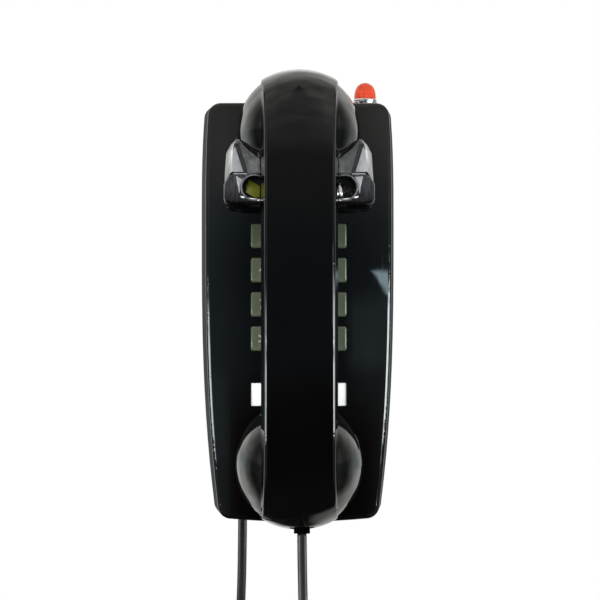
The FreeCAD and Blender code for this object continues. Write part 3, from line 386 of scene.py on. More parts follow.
def on_route(s):
    """Point of the route at a length from its start."""
    s = max(0.0, min(TOTAL, s))
    lo, hi = 0, len(along) - 1
    while hi - lo > 1:
        mid = (lo + hi) // 2
        if along[mid] <= s:
            lo = mid
        else:
            hi = mid
    f = (s - along[lo]) / max(1e-9, along[hi] - along[lo])
    return line[lo].lerp(line[hi], f)


def way(s, h=0.0012):
    return (on_route(s + h) - on_route(s - h)).normalized()


def bend(s, h=0.006):
    if s < 2 * h or s > TOTAL - 2 * h:
        return 0.0
    return (way(s + h) - way(s - h)).length / (2 * h)


def length_at_height(z, rising):
    seq = range(len(line) - 1)
    for i in (reversed(list(seq)) if rising else seq):
        a, b = line[i].z, line[i + 1].z
        if (a - z) * (b - z) <= 0 and a != b:
            return along[i] + (along[i + 1] - along[i]) * (a - z) / (a - b)
    return 0.0


coil_a = length_at_height(-0.156, False)
coil_b = length_at_height(-0.156, True)
side = Vector((0.46272573, -0.88650149, 0.0)).cross(Vector((0, 0, 1))).normalized()
WIRE_W, WIRE_T, COIL_R = 0.0046, 0.0030, 0.00422
path, frames = [], []
theta = math.atan2(0.8865, 0.4627)
s = 0.0
PER_TURN = 22
while s < TOTAL - 0.0009:
    r = COIL_R * smoothstep(coil_a - 0.002, coil_a + 0.009, s) * (1 - smoothstep(coil_b - 0.009, coil_b + 0.002, s))
    r *= 1.0 + 0.012 * math.sin(s * 410.0) + 0.008 * math.sin(s * 977.0)
    T = way(s)
    N = side.cross(T).normalized()
    e = side * math.cos(theta) + N * math.sin(theta)
    path.append(on_route(s) + e * r)
    frames.append((e, T))
    if coil_a - 0.002 < s < coil_b + 0.002:
        pitch = 0.00488 / (1.0 - 0.0043 * bend(s)) * (1.0 + 0.012 * math.sin(s * 263.0))
        # where the coil opens out of the lead it turns slowly, so that the wire never bends sharply
        pitch /= 0.39 + 0.61 * smoothstep(0.74, 0.97, r / COIL_R)
        theta += 2 * math.pi / PER_TURN
        s += pitch / PER_TURN
    else:
        s += 0.0016
path.append(on_route(TOTAL))
frames.append((frames[-1][0], way(TOTAL - 0.001)))
# the last lead keeps the angle that the coil ended with
RING = 14
verts, faces = [], []
for i, p in enumerate(path):
    q0, q1 = path[max(0, i - 1)], path[min(len(path) - 1, i + 1)]
    T = (q1 - q0).normalized()
    e = frames[i][0]
    e = (e - T * e.dot(T)).normalized()
    w = T.cross(e).normalized()
    for k in range(RING):
        a = 2 * math.pi * k / RING
        c, d = math.cos(a), math.sin(a)
        c = math.copysign(abs(c) ** 0.8, c)
        d = math.copysign(abs(d) ** 0.8, d)
        verts.append(p + w * (c * WIRE_W / 2) + e * (d * WIRE_T / 2))
for i in range(len(path) - 1):
    for k in range(RING):
        k2 = (k + 1) % RING
        faces.append((i * RING + k, i * RING + k2, (i + 1) * RING + k2, (i + 1) * RING + k))
faces.append(tuple(reversed(range(RING))))
faces.append(tuple(range((len(path) - 1) * RING, len(path) * RING)))
cord = clean(mesh_of("handset_cord", verts, faces), 0)
cord.data.materials.append(black_cord)
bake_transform(cord)
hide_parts("cord_lead_base", "cord_coil", "cord_lead_handset")


# ------------------------------------------------------------------ clear and milky finishes of the cradle
def clear_painted_light(name, colour, through, rough=0.12, low=0.82, fine=420.0, bottom_shade=None):
    """Clear plastic with painted light: each facet's colour level stands for the light and shade on that facet, with
    faint random streaks; bottom_shade paints shade that darkens it towards the bottom.
    """
    m, t, s = material(name)
    L = t.links.new
    co = node(t, "ShaderNodeTexCoord")
    streak = node(t, "ShaderNodeMapping")
    streak.inputs["Scale"].default_value = (fine, fine, fine / 7.0)
    L(co.outputs["Object"], streak.inputs["Vector"])
    n1 = node(t, "ShaderNodeTexNoise", Scale=1.0, Detail=4.0)
    L(streak.outputs["Vector"], n1.inputs["Vector"])
    ramp = node(t, "ShaderNodeValToRGB")
    ramp.color_ramp.elements[0].position = 0.3
    ramp.color_ramp.elements[1].position = 0.7
    ramp.color_ramp.elements[0].color = (*[c * low for c in colour], 1)
    ramp.color_ramp.elements[1].color = (*colour, 1)
    L(n1.outputs["Fac"], ramp.inputs["Fac"])
    # painted shade: the colour is scaled down towards the bottom of the piece, along its height
    if bottom_shade:
        axes = node(t, "ShaderNodeSeparateXYZ")
        L(co.outputs["Object"], axes.inputs["Vector"])
        g = node(t, "ShaderNodeMapRange")
        g.inputs["From Min"].default_value = bottom_shade[0] * MM
        g.inputs["From Max"].default_value = bottom_shade[1] * MM
        g.inputs["To Min"].default_value = bottom_shade[2]
        L(axes.outputs["Z"], g.inputs["Value"])
        mixed = node(t, "ShaderNodeVectorMath")
        mixed.operation = "SCALE"
        L(ramp.outputs["Color"], mixed.inputs[0])
        L(g.outputs["Result"], mixed.inputs["Scale"])
        L(mixed.outputs["Vector"], s.inputs["Base Color"])
    else:
        L(ramp.outputs["Color"], s.inputs["Base Color"])
    r = node(t, "ShaderNodeMapRange")
    r.inputs["To Min"].default_value = rough * 0.6
    r.inputs["To Max"].default_value = rough * 1.5
    L(n1.outputs["Fac"], r.inputs["Value"])
    L(r.outputs["Result"], s.inputs["Roughness"])
    s.inputs["Transmission Weight"].default_value = through
    s.inputs["IOR"].default_value = 1.49
    return m


# Painted light on the clear cradle: a near-white painted highlight for the outer side facets, a pale grey painted
# highlight for the front facet, painted shade for the seat, near-black painted shadow for the gap round the cup, dark
# painted shade darkening to the bottom for the block, and a light grey painted highlight for the pocket's bead.
side_highlight_paint = clear_painted_light("clear_plastic_side_painted_highlight", (0.93, 0.94, 0.92), 0.15)
front_highlight_paint = clear_painted_light("clear_plastic_front_painted_highlight", (0.40, 0.41, 0.43), 0.3)
seat_shade_paint = clear_painted_light("clear_plastic_seat_painted_shade", (0.082, 0.085, 0.088), 0.5, 0.2)
gap_shadow_paint = clear_painted_light("clear_plastic_gap_painted_shadow", (0.026, 0.026, 0.030), 0.3, 0.08)
block_shade_paint = clear_painted_light("clear_plastic_block_painted_shade", (0.046, 0.046, 0.057), 0.12, 0.26, 0.22, 900.0, (51.0, 61.0, 0.04))
block_shade_paint.node_tree.nodes["Principled BSDF"].inputs["Specular IOR Level"].default_value = 0.2
ring_highlight_paint = clear_painted_light("clear_plastic_ring_painted_highlight", (0.20, 0.20, 0.21), 0.3, 0.10, 0.5, 700.0)
pocket_yellow = plastic("cradle_pocket_yellow", (0.21, 0.22, 0.026), rough=0.18, mottle=0.6)


# ------------------------------------------------------------------ ring lofts
def rounded(hx, hz, r, per=5, x0=0.0, z0=0.0):
    """Points (x, z) round a rectangle with round corners."""
    pts = []
    for cx, cz, a0 in ((hx - r, hz - r, 0), (-hx + r, hz - r, 90), (-hx + r, -hz + r, 180), (hx - r, -hz + r, 270)):
        for i in range(per + 1):
            a = math.radians(a0 + 90.0 * i / per)
            pts.append((x0 + cx + r * math.cos(a), z0 + cz + r * math.sin(a)))
    return pts


def loft(name, rings, mat, smooth_angle=30.0, cap=(True, True), lift=None):
    """A closed skin over rings of (points (x, z) in mm, depth in mm)."""
    n = len(rings[0][0])
    verts, faces = [], []
    for pts, d in rings:
        for x, z in pts:
            dd = d + (lift(x, z) if lift and d > rings[0][1] else 0.0)
            verts.append((x * MM, -dd * MM, z * MM))
    for i in range(len(rings) - 1):
        for k in range(n):
            k2 = (k + 1) % n
            faces.append((i * n + k, i * n + k2, (i + 1) * n + k2, (i + 1) * n + k))
    if cap[0]:
        faces.append(tuple(range(n)))
    if cap[1]:
        faces.append(tuple(range((len(rings) - 1) * n, len(rings) * n)))
    obj = clean(mesh_of(name, verts, faces), 0)
    sharpen(obj, smooth_angle)
    obj.data.materials.append(mat)
    return obj


def text_piece(name, text, size, x, z, depth, mat, thick=0.10):
    """Plain raised characters facing out of the wall."""
    cu = bpy.data.curves.new(name, "FONT")
    cu.body = text
    cu.size = size * MM
    cu.align_x = "CENTER"
    cu.align_y = "CENTER"
    cu.extrude = thick * MM / 2
    cu.resolution_u = 3
    tmp = bpy.data.objects.new(name + "_t", cu)
    scene.collection.objects.link(tmp)
    bpy.context.view_layer.update()
    mesh = bpy.data.meshes.new_from_object(tmp.evaluated_get(bpy.context.evaluated_depsgraph_get()))
    bpy.data.objects.remove(tmp)
    mesh.transform(Matrix.Translation((x * MM, -depth * MM, z * MM)) @ Matrix.Rotation(math.radians(90), 4, "X"))
    obj = link(name, mesh, False)
    mesh.materials.clear()
    mesh.materials.append(mat)
    return obj


# ------------------------------------------------------------------ keys
ink = plastic("key_marks_pale", (0.24, 0.26, 0.21), rough=0.3, mottle=0.05)
PITCH, PAD_Z = 16.93, 12.4
grid = [("1", 0, 0), ("2", 1, 0), ("3", 2, 0), ("4", 0, 1), ("5", 1, 1), ("6", 2, 1), ("7", 0, 2), ("8", 1, 2),
        ("9", 2, 2), ("star", 0, 3), ("0", 1, 3), ("pound", 2, 3)]
for label, c, r in grid:
    x, z = PITCH * (c - 1), PAD_Z + PITCH * (1.5 - r)

    def dish(px, pz, x=x, z=z):
        return 0.0

    rings = [(rounded(7.7, 7.05, 1.0, 5, x, z), 48.2), (rounded(7.7, 7.05, 1.0, 5, x, z), 49.9),
             (rounded(7.5, 6.85, 0.9, 5, x, z), 50.1), (rounded(6.78, 6.13, 1.1, 5, x, z), 50.2),
             (rounded(6.74, 6.09, 1.1, 5, x, z), 56.0), (rounded(6.62, 5.97, 1.1, 5, x, z), 56.55),
             (rounded(6.38, 5.73, 1.05, 5, x, z), 56.95), (rounded(6.02, 5.37, 1.0, 5, x, z), 57.12),
             (rounded(5.6, 4.95, 0.95, 5, x, z), 57.05), (rounded(4.6, 4.05, 0.85, 5, x, z), 56.88),
             (rounded(3.3, 2.9, 0.7, 5, x, z), 56.74), (rounded(1.8, 1.6, 0.5, 5, x, z), 56.66)]
    key = loft("key_cap_" + label, rings, key_grey, 38.0)
    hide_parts("key_" + label)
    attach(key, "key_%s_body" % label)
    sign = {"star": "*", "pound": "#"}.get(label, label)
    if label == "star":
        # six plain arms
        arms = bmesh.new()
        for i in range(3):
            a = math.radians(60 * i + 30)
            ux, uz = math.cos(a), math.sin(a)
            q = [(-3.4, -0.42), (3.4, -0.42), (3.4, 0.42), (-3.4, 0.42)]
            lo = [arms.verts.new(((x + p * ux - w * uz) * MM, -56.6 * MM, (z + p * uz + w * ux) * MM)) for p, w in q]
            hi = [arms.verts.new(((x + p * ux - w * uz) * MM, -(57.14 + 0.01 * i) * MM, (z + p * uz + w * ux) * MM))
                  for p, w in q]
            arms.faces.new(lo)
            arms.faces.new(list(reversed(hi)))
            for k in range(4):
                arms.faces.new((lo[k], hi[k], hi[(k + 1) % 4], lo[(k + 1) % 4]))
        me = bpy.data.meshes.new("key_marks_star")
        bmesh.ops.recalc_face_normals(arms, faces=arms.faces)
        arms.to_mesh(me)
        arms.free()
        me.materials.append(ink)
        marks = [link("key_marks_star", me, False)]
    else:
        marks = [text_piece("key_digit_" + label, sign, 6.6, x - 1.2, z, 56.95, ink, 0.5)]
    for m in marks:
        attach(m, "key_%s_body" % label)


# ------------------------------------------------------------------ message lamp
def turned(name, profile, cx, cy, mat, n=48, scallop=None, flat=False, axis_z=True):
    """A profile of (radius, height) in mm turned about an upright axis."""
    verts, faces = [], []
    for r, z in profile:
        for k in range(n):
            a = 2 * math.pi * k / n
            rr = r * (scallop(k, n, r, z) if scallop else 1.0)
            verts.append(((cx + rr * math.cos(a)) * MM, (cy + rr * math.sin(a)) * MM, z * MM))
    m = len(profile)
    for i in range(m):
        j = (i + 1) % m
        for k in range(n):
            k2 = (k + 1) % n
            faces.append((i * n + k, i * n + k2, j * n + k2, j * n + k))
    obj = clean(mesh_of(name, verts, faces, not flat), 1e-7)
    bm = bmesh.new()
    bm.from_mesh(obj.data)
    bmesh.ops.dissolve_degenerate(bm, dist=1e-7, edges=bm.edges)
    bmesh.ops.recalc_face_normals(bm, faces=bm.faces)
    bm.to_mesh(obj.data)
    bm.free()
    if not flat:
        sharpen(obj, 34.0)
    obj.data.materials.append(mat)
    return obj


LX, LY = 34.2, -30.0
lens = turned("lamp_jewel", [(3.1, 100.1), (4.25, 100.1), (4.25, 108.8), (5.62, 108.85), (5.62, 109.9), (5.52, 111.3),
                             (5.24, 112.8), (4.72, 114.3), (3.85, 115.6), (2.6, 116.6), (1.3, 117.15), (0.02, 117.35), (0.02, 112.2),
                             (2.2, 111.9), (3.1, 110.6)],
              LX, LY, red, n=40, scallop=lambda k, n, r, z: 1.0 if z < 109.5 or r < 1.0 or r < 4 and z < 113 else
              (0.965 if k % 4 == 0 else 1.0), flat=True)
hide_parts("lamp_lens")
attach(lens, "base")
collar = turned("lamp_collar", [(4.42, 97.1), (5.08, 97.1), (5.08, 106.87), (6.25, 106.87), (6.28, 107.3), (6.15, 107.5),
                                (6.28, 107.8), (6.22, 108.2), (5.95, 108.6), (5.7, 108.78), (4.42, 108.78)],
                LX, LY, chrome, n=48)
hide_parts("lamp_bezel")
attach(collar, "base")


# ------------------------------------------------------------------ cradle
EAR_Z, FACE = 87.5, 55.4
CUP = ((0.0, 13.5), (1.0, 19.5), (3.7, 27.5), (7.6, 35.0), (12.9, 41.5), (19.9, 46.0))


def front_at(z):
    return 88.9 if z <= 70.5 else 88.9 - (z - 70.5) * 16.0 / 13.7


def cup_cutter():
    """The handset's cup with a little room round it, to shape the seats of the ears."""
    prof = [(0.02, 20.0), (30.4, 20.0), (30.4, 68.9)]
    prof += [(29.9 + 0.5 - c, FACE + a) for c, a in CUP[1:]] + [(5.0, 104.3), (0.02, 104.6)]
    n = 96
    verts, faces = [], []
    for r, d in prof:
        for k in range(n):
            a = 2 * math.pi * k / n
            verts.append((r * math.cos(a) * MM, -d * MM, (EAR_Z + r * math.sin(a)) * MM))
    m = len(prof)
    for i in range(m - 1):
        for k in range(n):
            k2 = (k + 1) % n
            faces.append((i * n + k, i * n + k2, (i + 1) * n + k2, (i + 1) * n + k))
    faces.append(tuple(range(n)))
    faces.append(tuple(range((m - 1) * n, m * n)))
    return clean(mesh_of("cup_cutter", verts, faces), 0)


def boolean_cut(obj, tool):
    mod = obj.modifiers.new("cut", "BOOLEAN")
    mod.operation = "DIFFERENCE"
    mod.solver = "EXACT"
    mod.object = tool
    apply_all(obj)
    bpy.data.objects.remove(tool)
    return obj


# EAR_MATS: plain clear plastic, then the painted-light copies: side highlight, front highlight, seat shade, gap shadow,
# block shade.
EAR_MATS = [clear_plastic, side_highlight_paint, front_highlight_paint, seat_shade_paint, gap_shadow_paint, block_shade_paint]
# the front skin of one ear: name: (x outwards, height, depth in front of the wall)
P = {
    "a0": (35.9, 60.9, 74.0), "a1": (36.2, 66.0, 66.5), "a2": (35.4, 77.5, 66.5), "a3": (33.1, 81.5, 68.5),
    "a4": (30.0, 84.0, 72.6),
    "b0": (34.4, 63.6, 84.0), "b1": (33.1, 65.6, 87.4), "b2": (31.9, 66.6, 88.8), "b3": (31.9, 70.5, 88.8),
    "b4": (31.75, 77.0, 81.2), "b5": (31.3, 81.2, 76.3),
    "c1": (26.4, 66.6, 88.9), "c2": (28.4, 72.6, 86.4), "c3": (30.7, 79.6, 78.2),
    "k1": (26.0, 66.5, 88.1), "k2": (28.0, 72.6, 85.6), "k3": (30.3, 79.8, 77.2),
    "l1": (24.9, 66.2, 88.1), "l2": (26.7, 72.6, 85.5), "l3": (29.3, 80.4, 76.6),
    "d1": (24.4, 66.0, 88.8), "d2": (26.2, 72.6, 86.9), "d3": (28.9, 80.8, 77.6),
    "e1": (28.0, 83.3, 76.6), "e2": (24.5, 78.4, 83.0), "e3": (21.0, 75.4, 86.6), "e4": (18.6, 74.4, 88.3),
    "g1": (18.6, 66.0, 88.9), "g2": (18.6, 70.5, 88.9),
}
# The number before each facet picks its painted light from EAR_MATS: 1 painted highlight on the outer sides, 2 painted
# highlight on the front, 3 painted shade on the seat, 4 painted shadow along the gap round the cup.
SKIN = [
    (1, ("a0", "a1", "b1", "b0")), (1, ("a1", "b3", "b2", "b1")), (1, ("a1", "a2", "b4", "b3")),
    (1, ("a2", "a3", "b5", "b4")), (1, ("a3", "a4", "b5")),
    (2, ("b2", "b3", "c2", "c1")), (2, ("b3", "b4", "c3", "c2")), (4, ("b4", "b5", "c3")),
    (4, ("c1", "c2", "k2", "k1")), (4, ("c2", "c3", "k3", "k2")),
    (4, ("k1", "k2", "l2", "l1")), (4, ("k2", "k3", "l3", "l2")),
    (4, ("l1", "l2", "d2", "d1")), (4, ("l2", "l3", "d3", "d2")),
    (4, ("b5", "a4", "e1", "d3")), (4, ("c3", "b5", "d3", "l3", "k3")),
    (3, ("d1", "d2", "e2", "e3", "e4", "g2", "g1")), (3, ("d2", "d3", "e1", "e2")),
]


def upper_ear(sign):
    names = list(P)
    index = {n: i for i, n in enumerate(names)}
    verts = [(sign * x * MM, -d * MM, z * MM) for x, z, d in P.values()]
    faces, mats = [], []
    count = {}
    for m, f in SKIN:
        faces.append(tuple(index[n] for n in f))
        mats.append(m)
        for a, b in zip(f, f[1:] + f[:1]):
            count[(a, b)] = count.get((a, b), 0) + 1
    rim = [(a, b) for (a, b) in count if (b, a) not in count]
    # walls from the rim straight back, and the back
    back = {}
    for a, b in rim:
        for n in (a, b):
            if n not in back:
                x, z, d = P[n]
                back[n] = len(verts)
                verts.append((sign * min(x, 35.9) * MM, -59.5 * MM, z * MM))
    for a, b in rim:
        faces.append((index[b], index[a], back[a], back[b]))
        # outer side walls take the painted highlight, the others stay plain clear
        mats.append(1 if a[0] == "a" and b[0] == "a" else 0)
    order, cur = [], rim[0][0]
    step = dict(rim)
    while cur not in order:
        order.append(cur)
        cur = step[cur]
    faces.append(tuple(back[n] for n in order))
    mats.append(0)
    mesh = bpy.data.meshes.new("cradle_ear")
    mesh.from_pydata(verts, [], faces)
    for m in EAR_MATS:
        mesh.materials.append(m)
    for f, m in zip(mesh.polygons, mats):
        f.material_index = m
    obj = link("cradle_ear_" + ("left" if sign < 0 else "right"), mesh, False)
    bm = bmesh.new()
    bm.from_mesh(mesh)
    bmesh.ops.recalc_face_normals(bm, faces=bm.faces)
    bmesh.ops.triangulate(bm, faces=[f for f in bm.faces if len(f.verts) > 4])
    bm.to_mesh(mesh)
    bm.free()
    boolean_cut(obj, cup_cutter())
    bev = obj.modifiers.new("edge", "BEVEL")
    bev.width = 0.22 * MM
    bev.segments = 2
    bev.limit_method = "ANGLE"
    bev.angle_limit = math.radians(28)
    apply_all(obj)
    sharpen(obj, 26.0)
    return obj


def lower_block(sign):
    """The arched block under an ear, with a round pocket beside the handset."""
    outline = [(35.9, 60.9), (35.3, 62.3), (34.4, 63.6), (33.2, 65.2), (31.9, 66.2), (30.4, 66.4), (28.0, 66.4),
               (25.4, 66.4), (23.6, 65.9), (21.0, 65.8), (18.6, 65.8), (18.6, 50.7), (30.8, 50.7), (33.6, 50.9),
               (35.2, 51.8), (35.95, 54.0)]
    n = len(outline)
    verts, faces, mats = [], [], []
    cx = sum(x for x, z in outline) / n
    cz = sum(z for x, z in outline) / n
    levels = [(59.5, 0.0), (84.0, 0.0), (86.8, 0.35), (88.2, 1.1), (88.85, 2.1)]
    for d, inset in levels:
        for x, z in outline:
            k = 1.0 - inset / 11.0
            xx = x if x <= 18.7 else cx + (x - cx) * k
            verts.append((sign * xx * MM, -d * MM, (cz + (z - cz) * k) * MM))
    # walls and front take the block's painted shade, darker towards the bottom
    for i in range(len(levels) - 1):
        for k in range(n):
            k2 = (k + 1) % n
            faces.append((i * n + k, i * n + k2, (i + 1) * n + k2, (i + 1) * n + k))
            mats.append(5)
    faces.append(tuple(range(n)))
    mats.append(0)
    faces.append(tuple(range((len(levels) - 1) * n, len(levels) * n)))
    mats.append(5)
    mesh = bpy.data.meshes.new("cradle_block")
    mesh.from_pydata(verts, [], faces)
    for m in EAR_MATS:
        mesh.materials.append(m)
    for f, m in zip(mesh.polygons, mats):
        f.material_index = m
    obj = clean(link("cradle_block_" + ("left" if sign < 0 else "right"), mesh, False), 0)
    # the round pocket, open towards the handset
    tv, tf = [], []
    m = 48
    for r, d in ((5.4, 79.0), (5.6, 90.5)):
        for k in range(m):
            a = 2 * math.pi * k / m
            tv.append((sign * (21.4 + r * math.cos(a)) * MM, -d * MM, (59.4 + r * math.sin(a)) * MM))
    for k in range(m):
        tf.append((k, (k + 1) % m, m + (k + 1) % m, m + k))
    tf.append(tuple(range(m)))
    tf.append(tuple(range(m, 2 * m)))
    boolean_cut(obj, clean(mesh_of("pocket", tv, tf), 0))
    boolean_cut(obj, cup_cutter())
    sharpen(obj, 30.0)
    return obj


def ring_arc(name, sign, r0, tube, a0, a1, depth, mat, cz=59.4, n=40, flat=1.0):
    """A round bead that follows part of the pocket's rim."""
    verts, faces = [], []
    m = 10
    for i in range(n + 1):
        a = math.radians(a0 + (a1 - a0) * i / n)
        t = tube * min(1.0, 0.25 + 3.0 * math.sin(math.pi * i / n))
        for k in range(m):
            b = 2 * math.pi * k / m
            r = r0 + t * math.cos(b)
            verts.append((sign * (21.4 + r * math.cos(a)) * MM, -(depth + flat * t * math.sin(b)) * MM,
                          (cz + r * math.sin(a)) * MM))
    for i in range(n):
        for k in range(m):
            k2 = (k + 1) % m
            faces.append((i * m + k, i * m + k2, (i + 1) * m + k2, (i + 1) * m + k))
    faces.append(tuple(range(m)))
    faces.append(tuple(range(n * m, (n + 1) * m)))
    obj = clean(mesh_of(name, verts, faces), 0)
    obj.data.materials.append(mat)
    return obj


def slab(name, sign, outline, depths, thick, mat, bevel=0.25):
    """A thin facet (x, z) with its own depth at each corner."""
    n = len(outline)
    verts = [(sign * x * MM, -d * MM, z * MM) for (x, z), d in zip(outline, depths)]
    verts += [(sign * x * MM, -(d - thick) * MM, z * MM) for (x, z), d in zip(outline, depths)]
    faces = [tuple(range(n)), tuple(reversed(range(n, 2 * n)))]
    for k in range(n):
        k2 = (k + 1) % n
        faces.append((k, k2, n + k2, n + k))
    obj = clean(mesh_of(name, verts, faces, False), 0)
    bev = obj.modifiers.new("edge", "BEVEL")
    bev.width = bevel * MM
    bev.segments = 2
    apply_all(obj)
    sharpen(obj, 30.0)
    obj.data.materials.append(mat)
    return obj


cradle_pieces = []
for sign, side_name in ((-1, "left"), (1, "right")):
    ear = upper_ear(sign)
    block = lower_block(sign)
    # the bead round the pocket's rim carries a painted highlight: a light grey colour
    rim = ring_arc("cradle_pocket_rim_" + side_name, sign, 5.95, 0.45, -118, 118, 88.8, ring_highlight_paint, cz=59.2)
    # the raised V facet below the ear carries a painted highlight: a pale grey colour
    wedge = slab("cradle_painted_highlight_facet_" + side_name, sign,
                 [(31.4, 66.0), (24.4, 65.95), (26.6, 63.3), (27.7, 60.8), (28.1, 56.5), (28.7, 56.5), (29.2, 61.0), (30.2, 64.2)],
                 [88.5, 88.6, 88.9, 88.95, 88.9, 88.9, 88.95, 88.8], 1.6, front_highlight_paint)
    cradle_pieces += [ear, block, rim, wedge]
    # what shows at the bottom of the pocket: a yellow slab on the left for the yellow-green colour there, and a chrome
    # one on the right
    if sign < 0:
        insert = slab("cradle_pocket_yellow_left", sign, [(24.4, 63.8), (18.7, 60.6), (18.7, 55.2), (21.2, 54.6), (25.6, 57.4)],
                      [81.5, 80.2, 82.0, 83.0, 82.2], 2.0, pocket_yellow, 0.5)
    else:
        insert = slab("cradle_stop_right", sign, [(21.6, 61.6), (18.7, 62.2), (18.7, 55.0), (21.8, 55.3)],
                      [81.5, 82.4, 83.0, 82.0], 2.0, chrome, 0.6)
    # painted glints: a thin strip and a small spot of near-white colour under the pocket
    glint_strip = slab("cradle_pocket_glint_strip_" + side_name, sign, [(25.0, 54.5), (18.7, 53.7), (18.7, 52.8), (24.3, 53.5)],
                [88.95, 88.9, 89.1, 89.15], 1.0, side_highlight_paint, 0.2)
    glint_spot = slab("cradle_pocket_glint_spot_" + side_name, sign, [(28.1, 55.3), (25.7, 54.9), (26.0, 54.1), (27.5, 54.4)],
                [88.9, 88.95, 89.1, 89.1], 1.0, side_highlight_paint, 0.2)
    cradle_pieces += [insert, glint_strip, glint_spot]


def prism_yz(name, outline, x0, x1, mat, bevel=0.35):
    """A bar across the cradle: outline (depth, height)."""
    n = len(outline)
    verts = [(x0 * MM, -d * MM, z * MM) for d, z in outline] + [(x1 * MM, -d * MM, z * MM) for d, z in outline]
    faces = [tuple(range(n)), tuple(reversed(range(n, 2 * n)))]
    for k in range(n):
        k2 = (k + 1) % n
        faces.append((k, k2, n + k2, n + k))
    obj = clean(mesh_of(name, verts, faces, False), 0)
    bev = obj.modifiers.new("edge", "BEVEL")
    bev.width = bevel * MM
    bev.segments = 3
    bev.limit_method = "ANGLE"
    bev.angle_limit = math.radians(30)
    apply_all(obj)
    sharpen(obj, 34.0)
    obj.data.materials.append(mat)
    return obj


def block(name, x0, x1, d0, d1, z0, z1):
    verts = [(x * MM, -d * MM, z * MM) for z in (z0, z1) for x, d in ((x0, d0), (x1, d0), (x1, d1), (x0, d1))]
    faces = [(0, 1, 2, 3), (4, 5, 6, 7), (0, 1, 5, 4), (1, 2, 6, 5), (2, 3, 7, 6), (3, 0, 4, 7)]
    return clean(mesh_of(name, verts, faces, False), 0)


liner = block("handset_socket_liner", 1.2 - 5.4, 1.2 + 5.4, 86.9 - 6.1, 86.9 + 6.1, -100.4, -88.35)
boolean_cut(liner, block("liner_hole", 1.2 - 3.95, 1.2 + 3.95, 86.9 - 3.4, 86.9 + 3.4, -103.0, -91.5))
liner.data.materials.clear()
liner.data.materials.append(black)
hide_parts("handset_socket")
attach(liner, "handset")

yoke = prism_yz("cradle_yoke", [(58.2, 50.6), (66.3, 50.6), (66.3, 57.6), (63.0, 58.4), (58.2, 57.6)], -35.4, 35.4,
                clear_plastic, 0.5)
arm_l = prism_yz("cradle_arm_left", [(18.2, 59.2), (18.2, 64.8), (24, 65.8), (46, 57.0), (61.8, 56.2), (61.8, 51.2),
                                     (44, 51.6)], -24.9, -9.4, clear_plastic)
arm_r = prism_yz("cradle_arm_right", [(18.2, 59.2), (18.2, 64.8), (24, 65.8), (46, 57.0), (61.8, 56.2), (61.8, 51.2),
                                      (44, 51.6)], 9.4, 24.9, clear_plastic)
arm_m = prism_yz("cradle_arm_middle", [(32.6, 54.6), (33.0, 61.2), (46, 57.0), (61.8, 56.2), (61.8, 51.2),
                                       (44, 51.6)], -10.0, 10.0, clear_plastic)
cradle_pieces += [yoke, arm_l, arm_r, arm_m]
for o in cradle_pieces:
    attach(o, "cradle")
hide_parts("hook_lever")

# ------------------------------------------------------------------ keypad face, flush with the crowned front
CROWN = 309.0


def crown_at(x):
    return 55.0 - (CROWN - math.sqrt(CROWN * CROWN - x * x))


def steps(points, most):
    out = [points[0]]
    for a, b in zip(points, points[1:]):
        k = max(1, int(math.ceil((b - a) / most)))
        out += [a + (b - a) * (i + 1) / k for i in range(k)]
    return out


def crowned_plate(name, xs, zs, holes, front, back, mat):
    """A plate on a grid with square windows; its front follows the crown."""
    index, verts, faces = {}, [], []

    def v(i, j, top):
        key = (i, j, top)
        if key not in index:
            index[key] = len(verts)
            d = front(xs[i]) if top else back
            verts.append((xs[i] * MM, -d * MM, zs[j] * MM))
        return index[key]

    def solid(i, j):
        if not (0 <= i < len(xs) - 1 and 0 <= j < len(zs) - 1):
            return False
        x, z = (xs[i] + xs[i + 1]) / 2, (zs[j] + zs[j + 1]) / 2
        return not any(a < x < b and c < z < d for a, b, c, d in holes)

    for i in range(len(xs) - 1):
        for j in range(len(zs) - 1):
            if not solid(i, j):
                continue
            faces.append((v(i, j, 1), v(i + 1, j, 1), v(i + 1, j + 1, 1), v(i, j + 1, 1)))
            faces.append((v(i, j, 0), v(i, j + 1, 0), v(i + 1, j + 1, 0), v(i + 1, j, 0)))
            for di, dj, a, b in ((-1, 0, (i, j + 1), (i, j)), (1, 0, (i + 1, j), (i + 1, j + 1)),
                                 (0, -1, (i, j), (i + 1, j)), (0, 1, (i + 1, j + 1), (i, j + 1))):
                if not solid(i + di, j + dj):
                    faces.append((v(*a, 1), v(*b, 1), v(*b, 0), v(*a, 0)))
    obj = clean(mesh_of(name, verts, faces), 0)
    sharpen(obj, 30.0)
    obj.data.materials.append(mat)
    return obj


key_x = [(PITCH * (c - 1) - 7.12, PITCH * (c - 1) + 7.12) for c in range(3)]
key_z = [(PAD_Z + PITCH * (1.5 - r) - 6.48, PAD_Z + PITCH * (1.5 - r) + 6.48) for r in (3, 2, 1, 0)]
xs = steps([-26.58] + [q for p in key_x for q in p] + [26.58], 3.0)
zs = [-22.18] + [q for p in key_z for q in p] + [46.98]
bezel = crowned_plate("keypad_face", xs, zs, [(a, b, c, d) for a, b in key_x for c, d in key_z],
                      lambda x: crown_at(x) - 0.015, 50.5, black)
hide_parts("keypad_bezel")
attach(bezel, "base")

